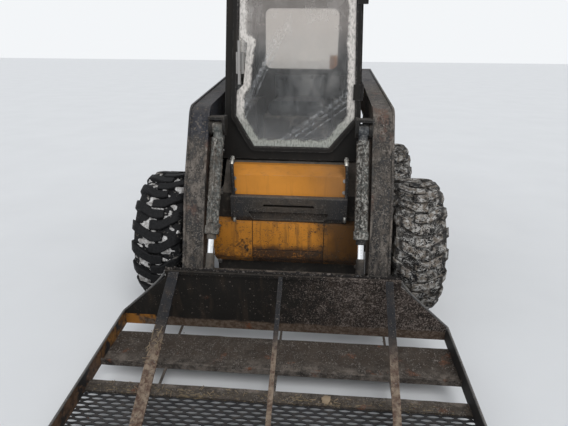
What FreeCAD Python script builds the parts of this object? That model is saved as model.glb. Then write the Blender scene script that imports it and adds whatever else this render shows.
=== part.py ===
import FreeCAD, Part
import math
import os

# Skid steer loader with a low tray on its lift arms. Lengths are millimetres and angles degrees.
# The machine faces -Y, +X is its left side and +Z is up. While it is drawn, Y starts at the front
# axle and Z at the ground; at the end everything is moved along Y so that its middle is at zero.

V = FreeCAD.Vector

# Clearances
pin_gap = 0.3            # radial play of a pin in its bore
seat_gap = 0.3           # play where one piece seats in or on another
side_play = 2.0          # play beside an eye or a boss that turns on a pin
eye_play = 9.0           # room beside a rod eye, which wanders a little from its pin
cylinder_neck = 22.0     # from the edge of a barrel's eye to its tube, clear of the pin's boss
cylinder_end_play = 8.0  # from a closed rod's end to the bottom of its bore
latch_gap = 4.0          # from the latch to the door's frame

# Wheels
wheelbase = 1130.0
wheel_centre_x = 761.0
tyre_radius = 420.0
tyre_width = 307.0
tyre_bead_radius = 210.0
tyre_bead_width = 230.0
tyre_bulge_radius = 320.0
tyre_tread_radius = 395.0
tyre_tread_half = 132.0
tyre_lug_count = 24      # on each half of the tread
lug_width = 42.0
lug_slant = 84.0
lug_overlap = 6.0
lug_root = 12.0
lug_shoulder = 128.0
lug_end_radius = 330.0
rim_plate = 12.0
rim_well_depth = 22.0
disc_plate = 14.0
hub_radius = 78.0
hub_hole_radius = 40.0
hand_hole_radius = 24.0
hand_hole_circle = 138.0
hand_hole_count = 8

# Chassis
chassis_half = 440.0
chassis_front = -150.0
chassis_rear = 1900.0
chassis_bottom = 205.0
chassis_top = 760.0
chassis_nose_rise = 110.0
chassis_tail_rise = 130.0
side_plate = 30.0
upper_body_half = 404.0
bay_front = 1190.0
axle_tube_radius = 68.0
axle_flange_radius = 96.0
axle_flange = 22.0

# Front of the chassis, from the cab down
panel_half = 345.0
panel_front = -175.0
panel_bottom = 771.0
panel_top = 932.0
step_front = -215.0
step_bottom = 613.0
step_slot_half = 150.0
step_slot_height = 18.0
cover_half = 452.0
cover_front = -230.0
cover_bottom = 320.0
cover_plate = 14.0

# Engine, hood and rear end
rear_door_gap = 12.0
rear_knuckle_radius = 12.0
rear_knuckle_length = 90.0
rear_pin_radius = 6.0
rear_hinge_heights = (560.0, 955.0)
engine_half = 230.0
engine_length = 470.0
engine_bottom = 300.0
engine_height = 560.0
engine_rear_gap = 150.0
hood_half = 378.0
hood_plate = 14.0
hood_front_top = 1400.0
hood_rear_top = 1170.0
hood_slot_count = 7
hood_slot_width = 26.0
hood_slot_length = 420.0
exhaust_radius = 34.0
exhaust_height = 230.0
bumper_half = 470.0
bumper_depth = 90.0
bumper_bottom = 335.0
bumper_height = 175.0
tow_hole_radius = 16.0
tow_lug_length = 120.0
tow_lug_plate = 30.0
lamp_width = 60.0
lamp_height = 130.0
lamp_depth = 28.0
lamp_bottom = 800.0
rear_door_half = 366.0
rear_door_thickness = 46.0
rear_door_slot_count = 9
rear_door_slot_height = 24.0

# Uprights that carry the arms
upright_half_in = 385.0
upright_half_out = 450.0
upright_front = 1152.0
upright_rear = 1875.0
upright_waist = 1100.0
relief_bottom = 850.0
relief_top = 1000.0
pivot_y = 1400.0
pivot_z = 1340.0
pivot_pin_radius = 35.0
pivot_cap_radius = 52.0
pivot_cap = 12.0
upright_head_radius = 105.0

# Lift arms
arm_in = 465.0
arm_out = 585.0
arm_plate = 12.0
arm_lip = 7.0
arm_pivot_boss = 96.0
arm_nose_boss = 72.0
arm_nose_in = 491.0
arm_nose_out = 559.0
arm_nose_reach = 150.0
nose_y = -460.0
nose_z = 260.0
nose_pin_radius = 25.0
cross_tube_y = -330.0
cross_tube_z = 300.0
cross_tube_radius = 45.0

# Both kinds of cylinder
barrel_floor = 6.0

# Lift cylinders, between the chassis and the arms
lift_cylinder_x = 525.0
lift_base_y = 1200.0
lift_base_z = 610.0
lift_eye_y = 380.0
lift_eye_z = 1150.0
lift_barrel_radius = 44.0
lift_barrel_length = 890.0
lift_rod_radius = 25.0
lift_eye_radius = 44.0
lift_eye_width = 62.0
lift_pin_radius = 22.0
lift_retract = 0.0
lift_pocket_length = 400.0

# Tilt cylinders, between the arms and the coupler
tilt_cylinder_x = 415.0
tilt_base_y = -150.0
tilt_base_z = 1160.0
tilt_eye_y = -530.0
tilt_eye_z = 410.0
tilt_barrel_radius = 35.0
tilt_barrel_length = 615.0
tilt_rod_radius = 20.0
tilt_eye_radius = 40.0
tilt_eye_width = 56.0
tilt_pin_radius = 19.0
tilt_retract = 60.0
tilt_ear = 14.0

# Cab
cab_bottom = 952.0
cab_top = 2000.0
cab_front = -8.0
cab_lean = 92.0
cab_rear = 1150.0
cab_half_bottom = 418.0
cab_half_top = 384.0
cab_wall = 36.0
roof_height = 34.0
roof_overhang = 12.0
window_glass = 6.0
screen_plate = 5.0
side_window = {"front": 150.0, "rear": 1040.0, "bottom": 1190.0, "top": 1900.0}
rear_window_half = 290.0
rear_window_bottom = 1440.0
rear_window_top = 1890.0
screen_columns = 9
screen_rows = 6
screen_bar = 12.0

# Front door, drawn upright on the cab's front and then leant back with it
door_half_bottom = 244.0
door_half_knee = 402.0
door_half_top = 374.0
door_free_inset = 36.0   # the free edge stands in, to swing past the tilt cylinder
door_low = 50.0
door_knee = 250.0
door_high = 1030.0
door_frame_width = 22.0
door_thickness = 26.0
hinge_x = 405.0
hinge_radius = 9.0
hinge_length = 90.0
latch_half = 22.0
latch_height = 560.0

# Inside the cab
floor_plate = 22.0
cab_floor_drop = 14.0
seat_box_half = 225.0
seat_box_front = 420.0
seat_box_top = 1150.0
seat_width = 430.0
seat_depth = 430.0
cushion_thickness = 95.0
backrest_thickness = 90.0
backrest_height = 275.0
console_width = 96.0
console_top = 1265.0

# Tray, drawn level with its back wall upright and then pitched nose down
tray_length = 915.0
tray_pitch = 9.0
tray_heel_y = -633.0
tray_back_half = 880.0
tray_front_half = 915.0
tray_plate = 8.0
back_wall_height = 382.0
back_wall_shoulder = 335.0
back_wall_top_half = 602.0
back_wall_low = 88.0
back_wall_low_half = 866.0
rail_height = 85.0
rail_plate = 10.0
floor_gap_1 = (8.0, 80.0)
floor_gap_2 = (312.0, 417.0)
floor_bar_end = 480.0
slat_step = 6.0
slat_middle = 200.0
runner_half = 25.0
front_edge = 70.0
front_edge_plate = 16.0
mesh_columns = 15
mesh_rows = 5
mesh_strand = 12.0
mesh_plate = 6.0
bar_spacing = 550.0
side_bar_width = 58.0
middle_bar_width = 20.0
bar_plate = 9.0
bar_foot_back = 80.0

# Coupler behind the tray
coupler_plate = 20.0
coupler_half = 600.0
coupler_low = 30.0
coupler_high = 330.0
coupler_window_half = 150.0
lever_x = 250.0
lever_length = 210.0

parts = {}


def box(x0, x1, y0, y1, z0, z1):
    return Part.makeBox(x1 - x0, y1 - y0, z1 - z0, V(x0, y0, z0))


def disc_x(y, z, radius, x0, x1):
    return Part.makeCylinder(radius, x1 - x0, V(x0, y, z), V(1, 0, 0))


def rod(start, end, radius):
    run = end - start
    return Part.makeCylinder(radius, run.Length, start, run)


def outline(corners, place):
    """Closed face through corners (a, b, radius); place turns a flat point into a point in space."""
    edges = []
    ends = []
    count = len(corners)
    for i, (a, b, radius) in enumerate(corners):
        here = V(a, b, 0)
        before = (V(corners[i - 1][0], corners[i - 1][1], 0) - here).normalize()
        after = (V(corners[(i + 1) % count][0], corners[(i + 1) % count][1], 0) - here).normalize()
        if radius == 0:
            ends.append((here, here))
            continue
        half = before.getAngle(after) / 2
        reach = radius / math.tan(half)
        inward = (before + after).normalize()
        top = here + inward * (radius / math.sin(half) - radius)
        start = here + before * reach
        end = here + after * reach
        edges.append(Part.Arc(place(start), place(top), place(end)).toShape())
        ends.append((start, end))
    for i in range(count):
        start = ends[i][1]
        end = ends[(i + 1) % count][0]
        if start.distanceToPoint(end) > 1e-6:
            edges.append(Part.LineSegment(place(start), place(end)).toShape())
    return Part.Face(Part.Wire(Part.__sortEdges__(edges)))


def profile_x(corners, x0, x1):
    """Prism along X from corners (y, z, radius)."""
    return outline(corners, lambda p: V(x0, p.x, p.y)).extrude(V(x1 - x0, 0, 0))


def profile_y(corners, y0, y1):
    """Prism along Y from corners (x, z, radius)."""
    return outline(corners, lambda p: V(p.x, y0, p.y)).extrude(V(0, y1 - y0, 0))


def profile_z(corners, z0, z1):
    """Prism along Z from corners (x, y, radius)."""
    return outline(corners, lambda p: V(p.x, p.y, z0)).extrude(V(0, 0, z1 - z0))


def square(corners):
    """Corners without rounding."""
    return [(a, b, 0) for a, b in corners]


def mirrored(shape):
    return shape.mirror(V(0, 0, 0), V(1, 0, 0))


def both_sides(shape):
    return [shape, mirrored(shape)]


def fuse(first, *others):
    return first.fuse(list(others)).removeSplitter()


def keep(name, *shapes):
    """Store one named piece, made of one or more solids."""
    solids = []
    for shape in shapes:
        solids.extend(shape.Solids)
    parts[name] = solids[0] if len(solids) == 1 else Part.makeCompound(solids)


def side_name(side):
    return "left" if side > 0 else "right"


# Wheels

tyre_lug_step = 360.0 / tyre_lug_count
tyre_facet_angle = math.radians(tyre_lug_step)


def tyre_carcass():
    """Tyre without lugs about the X axis, in flat facets, as many round it as each half has lugs."""
    flat = 1 / math.cos(tyre_facet_angle / 2)
    half_section = [
        (tyre_bead_width / 2, tyre_bead_radius * flat),
        (tyre_width / 2, tyre_bulge_radius),
        (tyre_tread_half, tyre_tread_radius),
    ]
    section = half_section + [(-a, r) for a, r in reversed(half_section)]
    rings = []
    for i in range(tyre_lug_count):
        turn = tyre_facet_angle * i
        rings.append([V(a, -r * math.cos(turn), r * math.sin(turn)) for a, r in section])
    facets = []
    for here, there in zip(rings, rings[1:] + rings[:1]):
        for i in range(len(section)):
            k = (i + 1) % len(section)
            facets.append(Part.Face(Part.makePolygon([here[i], here[k], there[k], there[i], here[i]])))
    body = Part.Solid(Part.Shell(facets))
    if body.Volume < 0:
        body.reverse()
    return body


def tyre_lug(side):
    """One lug at the front of the wheel: it climbs from past the tyre's middle to a shoulder."""
    slope = lug_slant / (tyre_width / 2)
    low_end = -lug_slant / 2 - lug_width / 2 - slope * lug_overlap
    top = math.sqrt(tyre_radius ** 2 - low_end ** 2)
    profile = [
        (-lug_overlap, tyre_tread_radius - lug_root),
        (-lug_overlap, top),
        (lug_shoulder, top),
        (tyre_width / 2 - lug_overlap, lug_end_radius),
    ]
    corners = [V(side * a, -r, slope * a - lug_slant / 2 - lug_width / 2) for a, r in profile]
    return Part.Face(Part.makePolygon(corners + corners[:1])).extrude(V(0, 0, lug_width))


lugs = []
for side, start in ((1, 0.75), (-1, 0.25)):
    for i in range(tyre_lug_count):
        lug = tyre_lug(side)
        lug.rotate(V(0, 0, 0), V(1, 0, 0), -tyre_lug_step * (i + start))
        lugs.append(lug)
lugged_tyre = fuse(tyre_carcass(), *lugs)


def tyre(x, y):
    """Lugged tyre on its wheel's place."""
    placed = lugged_tyre.copy()
    placed.translate(V(x, y, tyre_radius))
    return placed


def rim(x, y, side):
    """Rim with a dropped well and a dished disc that bolts to the hub outside."""
    seat = tyre_bead_radius - seat_gap
    half = tyre_bead_width / 2
    well = seat - rim_well_depth
    face_x = half - 70
    section = [
        (-half, seat),
        (-half + 45, seat),
        (-half + 70, well),
        (half - 70, well),
        (half - 45, seat),
        (half, seat),
        (half, seat - rim_plate),
        (half - 40, seat - rim_plate),
        (half - 62, well - rim_plate),
        (face_x, hand_hole_circle + 42),
        (face_x - 30, hub_radius + 20),
        (face_x - 30, hub_hole_radius + pin_gap),
        (face_x - 30 - disc_plate, hub_hole_radius + pin_gap),
        (face_x - 30 - disc_plate, hub_radius + 25),
        (face_x - disc_plate, hand_hole_circle + 38),
        (face_x - disc_plate - 6, well - rim_plate),
        (-half + 64, well - rim_plate),
        (-half + 40, seat - rim_plate),
        (-half, seat - rim_plate),
    ]
    corners = [V(x + side * a, y, tyre_radius + r) for a, r in section]
    body = Part.Face(Part.makePolygon(corners + corners[:1])).revolve(V(x, y, tyre_radius), V(1, 0, 0), 360)
    holes = []
    for i in range(hand_hole_count):
        turn = 2 * math.pi * (i + 0.5) / hand_hole_count
        hole_y = y + hand_hole_circle * math.cos(turn)
        hole_z = tyre_radius + hand_hole_circle * math.sin(turn)
        holes.append(disc_x(hole_y, hole_z, hand_hole_radius, x - half, x + half))
    return body.cut(holes)


wheel_places = [("front", 0.0), ("rear", wheelbase)]
for end_name, axle_y in wheel_places:
    for side in (1, -1):
        label = end_name + "_" + side_name(side)
        keep("tyre_" + label, tyre(side * wheel_centre_x, axle_y))
        keep("rim_" + label, rim(side * wheel_centre_x, axle_y, side))

hub_face = wheel_centre_x + tyre_bead_width / 2 - 70 - 30 - disc_plate - seat_gap


def axle_housing(axle_y):
    tube = disc_x(axle_y, tyre_radius, axle_tube_radius, chassis_half + seat_gap, hub_face - 60)
    flange = disc_x(axle_y, tyre_radius, axle_flange_radius, chassis_half + seat_gap,
                    chassis_half + axle_flange)
    hub = disc_x(axle_y, tyre_radius, hub_radius, hub_face - 60, hub_face)
    spigot = disc_x(axle_y, tyre_radius, hub_hole_radius, hub_face, hub_face + disc_plate + 24)
    return fuse(tube, flange, hub, spigot)


housings = []
for end_name, axle_y in wheel_places:
    housings.extend(both_sides(axle_housing(axle_y)))
keep("axle_housings", *housings)


# Chassis: a closed body in front, and an open engine bay behind

door_rear = upright_rear + rear_door_gap
rear_hinge_x = rear_door_half + rear_knuckle_radius + 5
rear_hinge_y = door_rear + rear_door_thickness + 3


def rear_hinge_bracket(low, front, outer):
    """Bracket with a pin for one knuckle of the rear door, reaching back from what carries it."""
    arm = box(rear_hinge_x - rear_knuckle_radius, outer, front, rear_hinge_y + rear_knuckle_radius,
              low - 14, low - seat_gap)
    pin = Part.makeCylinder(rear_pin_radius, rear_knuckle_length + 8, V(rear_hinge_x, rear_hinge_y, low - 14))
    return fuse(arm, pin)


chassis_side_corners = [
    (chassis_front, chassis_bottom + chassis_nose_rise, 0),
    (chassis_front + 190, chassis_bottom, 60),
    (chassis_rear - 330, chassis_bottom, 60),
    (chassis_rear, chassis_bottom + chassis_tail_rise, 0),
    (chassis_rear, chassis_top - 120, 30),
    (chassis_rear - 260, chassis_top, 60),
    (chassis_front, chassis_top, 0),
]
chassis = profile_x(chassis_side_corners, -chassis_half, chassis_half)
bay = box(-chassis_half + side_plate, chassis_half - side_plate, bay_front, chassis_rear + 1,
          engine_bottom, chassis_top + 1)
chassis = chassis.cut(bay)
lift_pins = []
for side in (1, -1):
    inner = lift_cylinder_x - lift_eye_width / 2 - side_play
    outer = lift_cylinder_x + lift_eye_width / 2 + side_play
    boss = disc_x(lift_base_y, lift_base_z, lift_eye_radius + 14, chassis_half - 5, inner)
    pin = disc_x(lift_base_y, lift_base_z, lift_pin_radius, inner - 5, outer + 8)
    head = disc_x(lift_base_y, lift_base_z, lift_pin_radius + 12, outer, outer + 10)
    pin = fuse(boss, pin, head)
    lift_pins.append(pin if side > 0 else mirrored(pin))
upper_body_top = cab_bottom - cab_floor_drop - seat_gap
slope_end = cab_front + 12
upper_body = profile_x([
    (chassis_front, chassis_top - 1, 0),
    (chassis_front, panel_bottom, 0),
    (slope_end, upper_body_top, 0),
    (cab_rear, upper_body_top, 0),
    (cab_rear, chassis_top - 1, 0),
], -upper_body_half, upper_body_half)
low_bracket = rear_hinge_bracket(rear_hinge_heights[0], chassis_rear - 5, chassis_half)
keep("main_frame", fuse(chassis, upper_body, low_bracket, *lift_pins))

# Front of the chassis. The yellow panel lies on the slope of the body behind it.
panel_rear = cab_front - 20
slope_share = (panel_rear - chassis_front) / (slope_end - chassis_front)
panel_rear_z = panel_bottom + (upper_body_top - panel_bottom) * slope_share + 2 * seat_gap
panel = profile_x(square([
    (panel_front, panel_bottom + seat_gap),
    (chassis_front, panel_bottom + 2 * seat_gap),
    (panel_rear, panel_rear_z),
    (panel_rear, panel_top),
    (cab_front - 70, panel_top),
    (panel_front, panel_top - 40),
]), -panel_half, panel_half)
keep("front_panel", panel)

step = profile_x([
    (step_front + 12, step_bottom, 6),
    (chassis_front - seat_gap, step_bottom, 0),
    (chassis_front - seat_gap, panel_bottom, 0),
    (step_front, panel_bottom, 10),
    (step_front, step_bottom + 30, 10),
], -panel_half, panel_half)
step_middle = (step_bottom + panel_bottom) / 2
recess = profile_y([
    (-step_slot_half - 60, step_bottom + 12, 8),
    (step_slot_half + 60, step_bottom + 12, 8),
    (step_slot_half + 95, step_middle - 14, 8),
    (-step_slot_half - 95, step_middle - 14, 8),
], step_front - 1, step_front + 22)
slot = box(-step_slot_half, step_slot_half, step_front - 1, chassis_front - 20, step_middle + 14,
           step_middle + 14 + step_slot_height)
keep("front_step", step.cut([recess, slot]))

cover_top = step_bottom - seat_gap
cover_front_plate = profile_x([
    (cover_front, cover_top, 0),
    (cover_front, cover_bottom + 60, 40),
    (chassis_front - seat_gap, cover_bottom, 0),
    (chassis_front - seat_gap, cover_bottom + cover_plate, 0),
    (cover_front + cover_plate, cover_bottom + 60 + cover_plate, 30),
    (cover_front + cover_plate, cover_top - cover_plate, 0),
    (chassis_front - seat_gap, cover_top - cover_plate, 0),
    (chassis_front - seat_gap, cover_top, 0),
], -cover_half, cover_half)
cheek = profile_x([
    (cover_front + 6, cover_top - 6, 0),
    (cover_front + 6, cover_bottom + 60, 30),
    (chassis_front - seat_gap, cover_bottom + 6, 0),
    (chassis_front - seat_gap, cover_top - 6, 0),
], cover_half - cover_plate, cover_half)
keep("front_cover", fuse(cover_front_plate, cheek, mirrored(cheek)))

# Engine, as one plain block on the bay's floor
engine_rear = chassis_rear - engine_rear_gap
keep("engine_block", box(-engine_half, engine_half, engine_rear - engine_length, engine_rear,
                         engine_bottom + seat_gap, engine_bottom + engine_height))


# Uprights, with the pins that the arms turn on

def upright():
    plate = profile_x([
        (upright_front, chassis_top + seat_gap, 0),
        (upright_front + 20, upright_waist, 120),
        (pivot_y - 190, pivot_z + 60, 90),
        (pivot_y - 80, pivot_z + upright_head_radius, 60),
        (pivot_y + 90, pivot_z + upright_head_radius, 70),
        (upright_rear - 60, hood_rear_top, 90),
        (upright_rear, hood_rear_top - 170, 60),
        (upright_rear, chassis_top + 30, 20),
        (chassis_rear - 260, chassis_top + seat_gap, 0),
    ], upright_half_in, upright_half_out)
    relief = profile_x([
        (upright_front + 120, relief_top, 40),
        (pivot_y - 40, pivot_z - 130, 40),
        (pivot_y + 180, pivot_z - 150, 40),
        (upright_rear - 140, relief_top - 60, 40),
        (upright_front + 130, relief_bottom, 40),
    ], upright_half_out - 8, upright_half_out + 1)
    boss = disc_x(pivot_y, pivot_z, arm_pivot_boss - 16, upright_half_out - 5, arm_in - 10 - side_play)
    pin = disc_x(pivot_y, pivot_z, pivot_pin_radius, upright_half_out - 5, arm_out + side_play + 2)
    cap = disc_x(pivot_y, pivot_z, pivot_cap_radius, arm_out + side_play, arm_out + side_play + pivot_cap)
    return fuse(plate.cut(relief), boss, pin, cap)


high_bracket = rear_hinge_bracket(rear_hinge_heights[1], upright_rear - 5, upright_half_out - 20)
keep("rear_uprights", fuse(upright(), high_bracket), mirrored(upright()))

# Hood between the uprights, open at the back for the door
hood_outer = profile_x([
    (cab_rear + 20, chassis_top + seat_gap, 0),
    (cab_rear + 20, hood_front_top, 40),
    (pivot_y, hood_front_top - 10, 200),
    (upright_rear - 30, hood_rear_top, 60),
    (upright_rear - 14, chassis_top + 40, 0),
    (chassis_rear - 260, chassis_top + seat_gap, 0),
], -hood_half, hood_half)
hood_inner = profile_x([
    (cab_rear + 20 + hood_plate, chassis_top - 1, 0),
    (cab_rear + 20 + hood_plate, hood_front_top - hood_plate, 30),
    (pivot_y, hood_front_top - 10 - hood_plate, 200),
    (upright_rear - 34, hood_rear_top - hood_plate - 4, 50),
    (upright_rear + 60, hood_rear_top - hood_plate - 30, 0),
    (upright_rear + 60, chassis_top - 1, 0),
], -hood_half + hood_plate, hood_half - hood_plate)
hood = hood_outer.cut(hood_inner)
hood_slots = []
slot_pitch = 2 * (hood_half - 90) / (hood_slot_count - 1)
for i in range(hood_slot_count):
    middle = -hood_half + 90 + i * slot_pitch
    hood_slots.append(box(middle - hood_slot_width / 2, middle + hood_slot_width / 2,
                          cab_rear + 90, cab_rear + 90 + hood_slot_length / 2,
                          hood_front_top - 60, hood_front_top + 60))
hood = hood.cut(hood_slots)
exhaust_x = hood_half - 110
exhaust_y = pivot_y + 130
pipe = Part.makeCylinder(exhaust_radius, exhaust_height, V(exhaust_x, exhaust_y, hood_front_top - 90))
bore = Part.makeCylinder(exhaust_radius - 4, 90,
                         V(exhaust_x, exhaust_y, hood_front_top - 90 + exhaust_height - 80))
hood = fuse(hood, pipe).cut(bore)
keep("engine_hood", hood)

# Rear door with its cooling slots
door_bottom = bumper_bottom + bumper_height + 12
door_top = hood_rear_top - 40
rear_door = profile_x([
    (door_rear, door_bottom, 0),
    (door_rear + rear_door_thickness, door_bottom, 12),
    (door_rear + rear_door_thickness, door_top - 60, 40),
    (door_rear, door_top, 0),
], -rear_door_half, rear_door_half)
rear_pocket = box(-rear_door_half + 30, rear_door_half - 30, door_rear - 1,
                  door_rear + rear_door_thickness - 12, door_bottom + 30, door_top - 110)
rear_door = rear_door.cut(rear_pocket)
rear_slots = []
rear_slot_pitch = (door_top - door_bottom - 260) / (rear_door_slot_count - 1)
for i in range(rear_door_slot_count):
    low = door_bottom + 80 + i * rear_slot_pitch
    rear_slots.append(box(-rear_door_half + 80, rear_door_half - 80, door_rear - 1,
                          door_rear + 2 * rear_door_thickness, low, low + rear_door_slot_height))
rear_door = rear_door.cut(rear_slots)
knuckles = []
knuckle_bores = []
for low in rear_hinge_heights:
    knuckles.append(Part.makeCylinder(rear_knuckle_radius, rear_knuckle_length,
                                      V(rear_hinge_x, rear_hinge_y, low)))
    knuckles.append(box(rear_door_half - 24, rear_hinge_x, rear_hinge_y - 6, rear_hinge_y, low,
                        low + rear_knuckle_length))
    knuckle_bores.append(Part.makeCylinder(rear_pin_radius + pin_gap, rear_knuckle_length + 2,
                                           V(rear_hinge_x, rear_hinge_y, low - 1)))
keep("rear_door", fuse(rear_door, *knuckles).cut(knuckle_bores))

# Bumper across the rear end, with a tow lug
bumper_y = chassis_rear + seat_gap
bumper = profile_x([
    (bumper_y, bumper_bottom, 0),
    (bumper_y + bumper_depth - 20, bumper_bottom, 20),
    (bumper_y + bumper_depth, bumper_bottom + 40, 20),
    (bumper_y + bumper_depth, bumper_bottom + bumper_height, 14),
    (bumper_y, bumper_bottom + bumper_height, 0),
], -bumper_half, bumper_half)
lug_z = bumper_bottom + 60
lug = profile_z([
    (-60, bumper_y + bumper_depth - 5, 0),
    (60, bumper_y + bumper_depth - 5, 0),
    (50, bumper_y + bumper_depth + tow_lug_length, 44),
    (-50, bumper_y + bumper_depth + tow_lug_length, 44),
], lug_z, lug_z + tow_lug_plate)
tow_hole_y = bumper_y + bumper_depth + tow_lug_length / 2
tow_hole = Part.makeCylinder(tow_hole_radius, tow_lug_plate + 2, V(0, tow_hole_y, lug_z - 1))
keep("rear_bumper", fuse(bumper, lug).cut(tow_hole))

# Tail lamps on the rear edges of the uprights
lamp_x = (upright_half_in + upright_half_out) / 2
tail_lamp = box(lamp_x - lamp_width / 2, lamp_x + lamp_width / 2, upright_rear + seat_gap,
                upright_rear + seat_gap + lamp_depth, lamp_bottom, lamp_bottom + lamp_height)
keep("tail_lamps", *both_sides(tail_lamp))


# Lift arms: side plates with a slightly set-in core, one cross tube low down

arm_corners = [
    (pivot_y, pivot_z + 95, 0),
    (-125, 1279, 95),
    (-340, 850, 500),
    (-458, 455, 400),
    (-532, 250, 60),
    (-520, 195, 50),
    (-405, 200, 60),
    (-262, 430, 300),
    (-140, 810, 500),
    (15, 1112, 150),
    (pivot_y, pivot_z - 95, 0),
]


def lift_arm():
    plate_face = outline(arm_corners, lambda p: V(arm_in, p.x, p.y))
    core_face = plate_face.makeOffset2D(-arm_lip)
    plates = plate_face.extrude(V(arm_plate, 0, 0))
    far_plate = plates.copy()
    far_plate.translate(V(arm_out - arm_in - arm_plate, 0, 0))
    core = core_face.extrude(V(arm_out - arm_in, 0, 0))
    boss = disc_x(pivot_y, pivot_z, arm_pivot_boss, arm_in - 10, arm_out)
    lobe = disc_x(lift_eye_y, lift_eye_z, lift_eye_radius + 18, arm_in, arm_out)
    arm = fuse(plates, far_plate, core, boss, lobe)
    pocket_x0 = lift_cylinder_x - lift_eye_width / 2 - eye_play
    pocket_x1 = lift_cylinder_x + lift_eye_width / 2 + eye_play
    pocket = profile_x([
        (lift_eye_y - 110, lift_eye_z - 90, 0),
        (lift_eye_y - 110, lift_eye_z + 110, 60),
        (lift_eye_y + lift_pocket_length, lift_eye_z + 135, 60),
        (lift_eye_y + lift_pocket_length, lift_eye_z - 90, 0),
    ], pocket_x0, pocket_x1)
    arm = arm.cut(pocket)
    heads = []
    for x0, x1 in ((arm_out - 1, arm_out + 9), (arm_in - 9, arm_in + 1)):
        heads.append(disc_x(lift_eye_y, lift_eye_z, lift_pin_radius + 14, x0, x1))
    nose_cut_out = disc_x(nose_y, nose_z, arm_nose_reach, arm_nose_out, arm_out + 1)
    nose_cut_in = disc_x(nose_y, nose_z, arm_nose_reach, arm_in - 1, arm_nose_in)
    nose_low_out = box(arm_nose_out, arm_out + 1, nose_y - 200, nose_y + 200, 0, nose_z)
    nose_low_in = box(arm_in - 1, arm_nose_in, nose_y - 200, nose_y + 200, 0, nose_z)
    arm = arm.cut([nose_cut_out, nose_cut_in, nose_low_out, nose_low_in])
    arm = arm.cut([disc_x(nose_y, nose_z, nose_pin_radius + pin_gap, arm_in - 1, arm_out + 1),
                   disc_x(pivot_y, pivot_z, pivot_pin_radius + pin_gap, arm_in - 11, arm_out + 1)])
    return fuse(arm, *heads)


def tilt_bracket():
    """Bracket on an arm's inner side with the pin of a tilt cylinder's barrel."""
    eye_in = tilt_cylinder_x - tilt_eye_width / 2 - side_play
    eye_out = tilt_cylinder_x + tilt_eye_width / 2 + side_play
    boss = disc_x(tilt_base_y, tilt_base_z, tilt_eye_radius + 6, eye_out, arm_in)
    ear_top = tilt_base_z + tilt_eye_radius + 30
    ear = profile_x([
        (tilt_base_y - 44, tilt_base_z - 20, 20),
        (tilt_base_y + 44, tilt_base_z - 20, 20),
        (tilt_base_y + 60, ear_top, 12),
        (tilt_base_y - 44, ear_top, 12),
    ], eye_in - tilt_ear, eye_in)
    ear_disc = disc_x(tilt_base_y, tilt_base_z, tilt_eye_radius, eye_in - tilt_ear, eye_in)
    roof = box(eye_in - tilt_ear, arm_in, tilt_base_y - 40, tilt_base_y + 50, ear_top - 18, ear_top - 4)
    pin = disc_x(tilt_base_y, tilt_base_z, tilt_pin_radius, eye_in - 5, eye_out + 5)
    return fuse(boss, ear, ear_disc, roof, pin)


left_arm = lift_arm()
cross_tube = disc_x(cross_tube_y, cross_tube_z, cross_tube_radius, -arm_in - 4, arm_in + 4)
keep("lift_arms", fuse(left_arm, mirrored(left_arm), cross_tube))
keep("tilt_brackets", *both_sides(tilt_bracket()))


# Cylinders: each is drawn along the line from its base pin to its rod's eye

def cylinder(name, x, base, eye, radius, length, rod_radius, retract, eye_radius, eye_width, pin_radius):
    """Barrel and rod of one cylinder. base and eye are (y, z), retract is how far the rod still goes in."""
    start = V(x, base[0], base[1])
    end = V(x, eye[0], eye[1])
    along = (end - start).normalize()
    x0 = x - eye_width / 2
    x1 = x + eye_width / 2
    neck_start = start + along * (eye_radius * 0.7)
    tube_start = start + along * (eye_radius + cylinder_neck)
    bore_start = start + along * (eye_radius + cylinder_neck + barrel_floor)
    gland_start = start + along * (length - 46)
    tube_end = start + along * length
    barrel = fuse(rod(tube_start, tube_end, radius),
                  rod(neck_start, tube_start + along, eye_width / 2 - 1),
                  rod(gland_start, tube_end, radius + 5),
                  disc_x(base[0], base[1], eye_radius, x0, x1))
    barrel = barrel.cut([rod(bore_start, tube_end + along, rod_radius + pin_gap),
                         disc_x(base[0], base[1], pin_radius + pin_gap, x0 - 1, x1 + 1)])
    shaft_start = bore_start + along * (retract + cylinder_end_play)
    shaft = fuse(rod(shaft_start, end - along * (eye_radius * 0.7), rod_radius),
                 disc_x(eye[0], eye[1], eye_radius, x0, x1),
                 disc_x(eye[0], eye[1], pin_radius, x0 - 3, x1 + 3))
    keep(name.replace("*", "barrel"), barrel)
    keep(name.replace("*", "rod"), shaft)


for side in (1, -1):
    cylinder("lift_*_" + side_name(side), side * lift_cylinder_x, (lift_base_y, lift_base_z),
             (lift_eye_y, lift_eye_z), lift_barrel_radius, lift_barrel_length, lift_rod_radius,
             lift_retract, lift_eye_radius, lift_eye_width, lift_pin_radius)
    cylinder("tilt_*_" + side_name(side), side * tilt_cylinder_x, (tilt_base_y, tilt_base_z),
             (tilt_eye_y, tilt_eye_z), tilt_barrel_radius, tilt_barrel_length, tilt_rod_radius,
             tilt_retract, tilt_eye_radius, tilt_eye_width, tilt_pin_radius)


# Cab

def cab_section(z, inset):
    """Rectangle (x half, front y, rear y) of the cab at height z, drawn in by inset."""
    share = (z - cab_bottom) / (cab_top - cab_bottom)
    half = cab_half_bottom + (cab_half_top - cab_half_bottom) * share - inset
    return half, cab_front + cab_lean * share + inset, cab_rear - inset


def cab_block(inset, z0, z1):
    """Leaning block of the cab between two heights."""
    wires = []
    for z in (z0, z1):
        half, front, rear = cab_section(z, inset)
        corners = [V(-half, front, z), V(half, front, z), V(half, rear, z), V(-half, rear, z)]
        wires.append(Part.makePolygon(corners + corners[:1]))
    return Part.makeLoft(wires, True, True)


def cab_shell(outer, inner, z0, z1):
    return cab_block(outer, z0, z1).cut(cab_block(inner, z0 - 1, z1 + 1))


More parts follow.
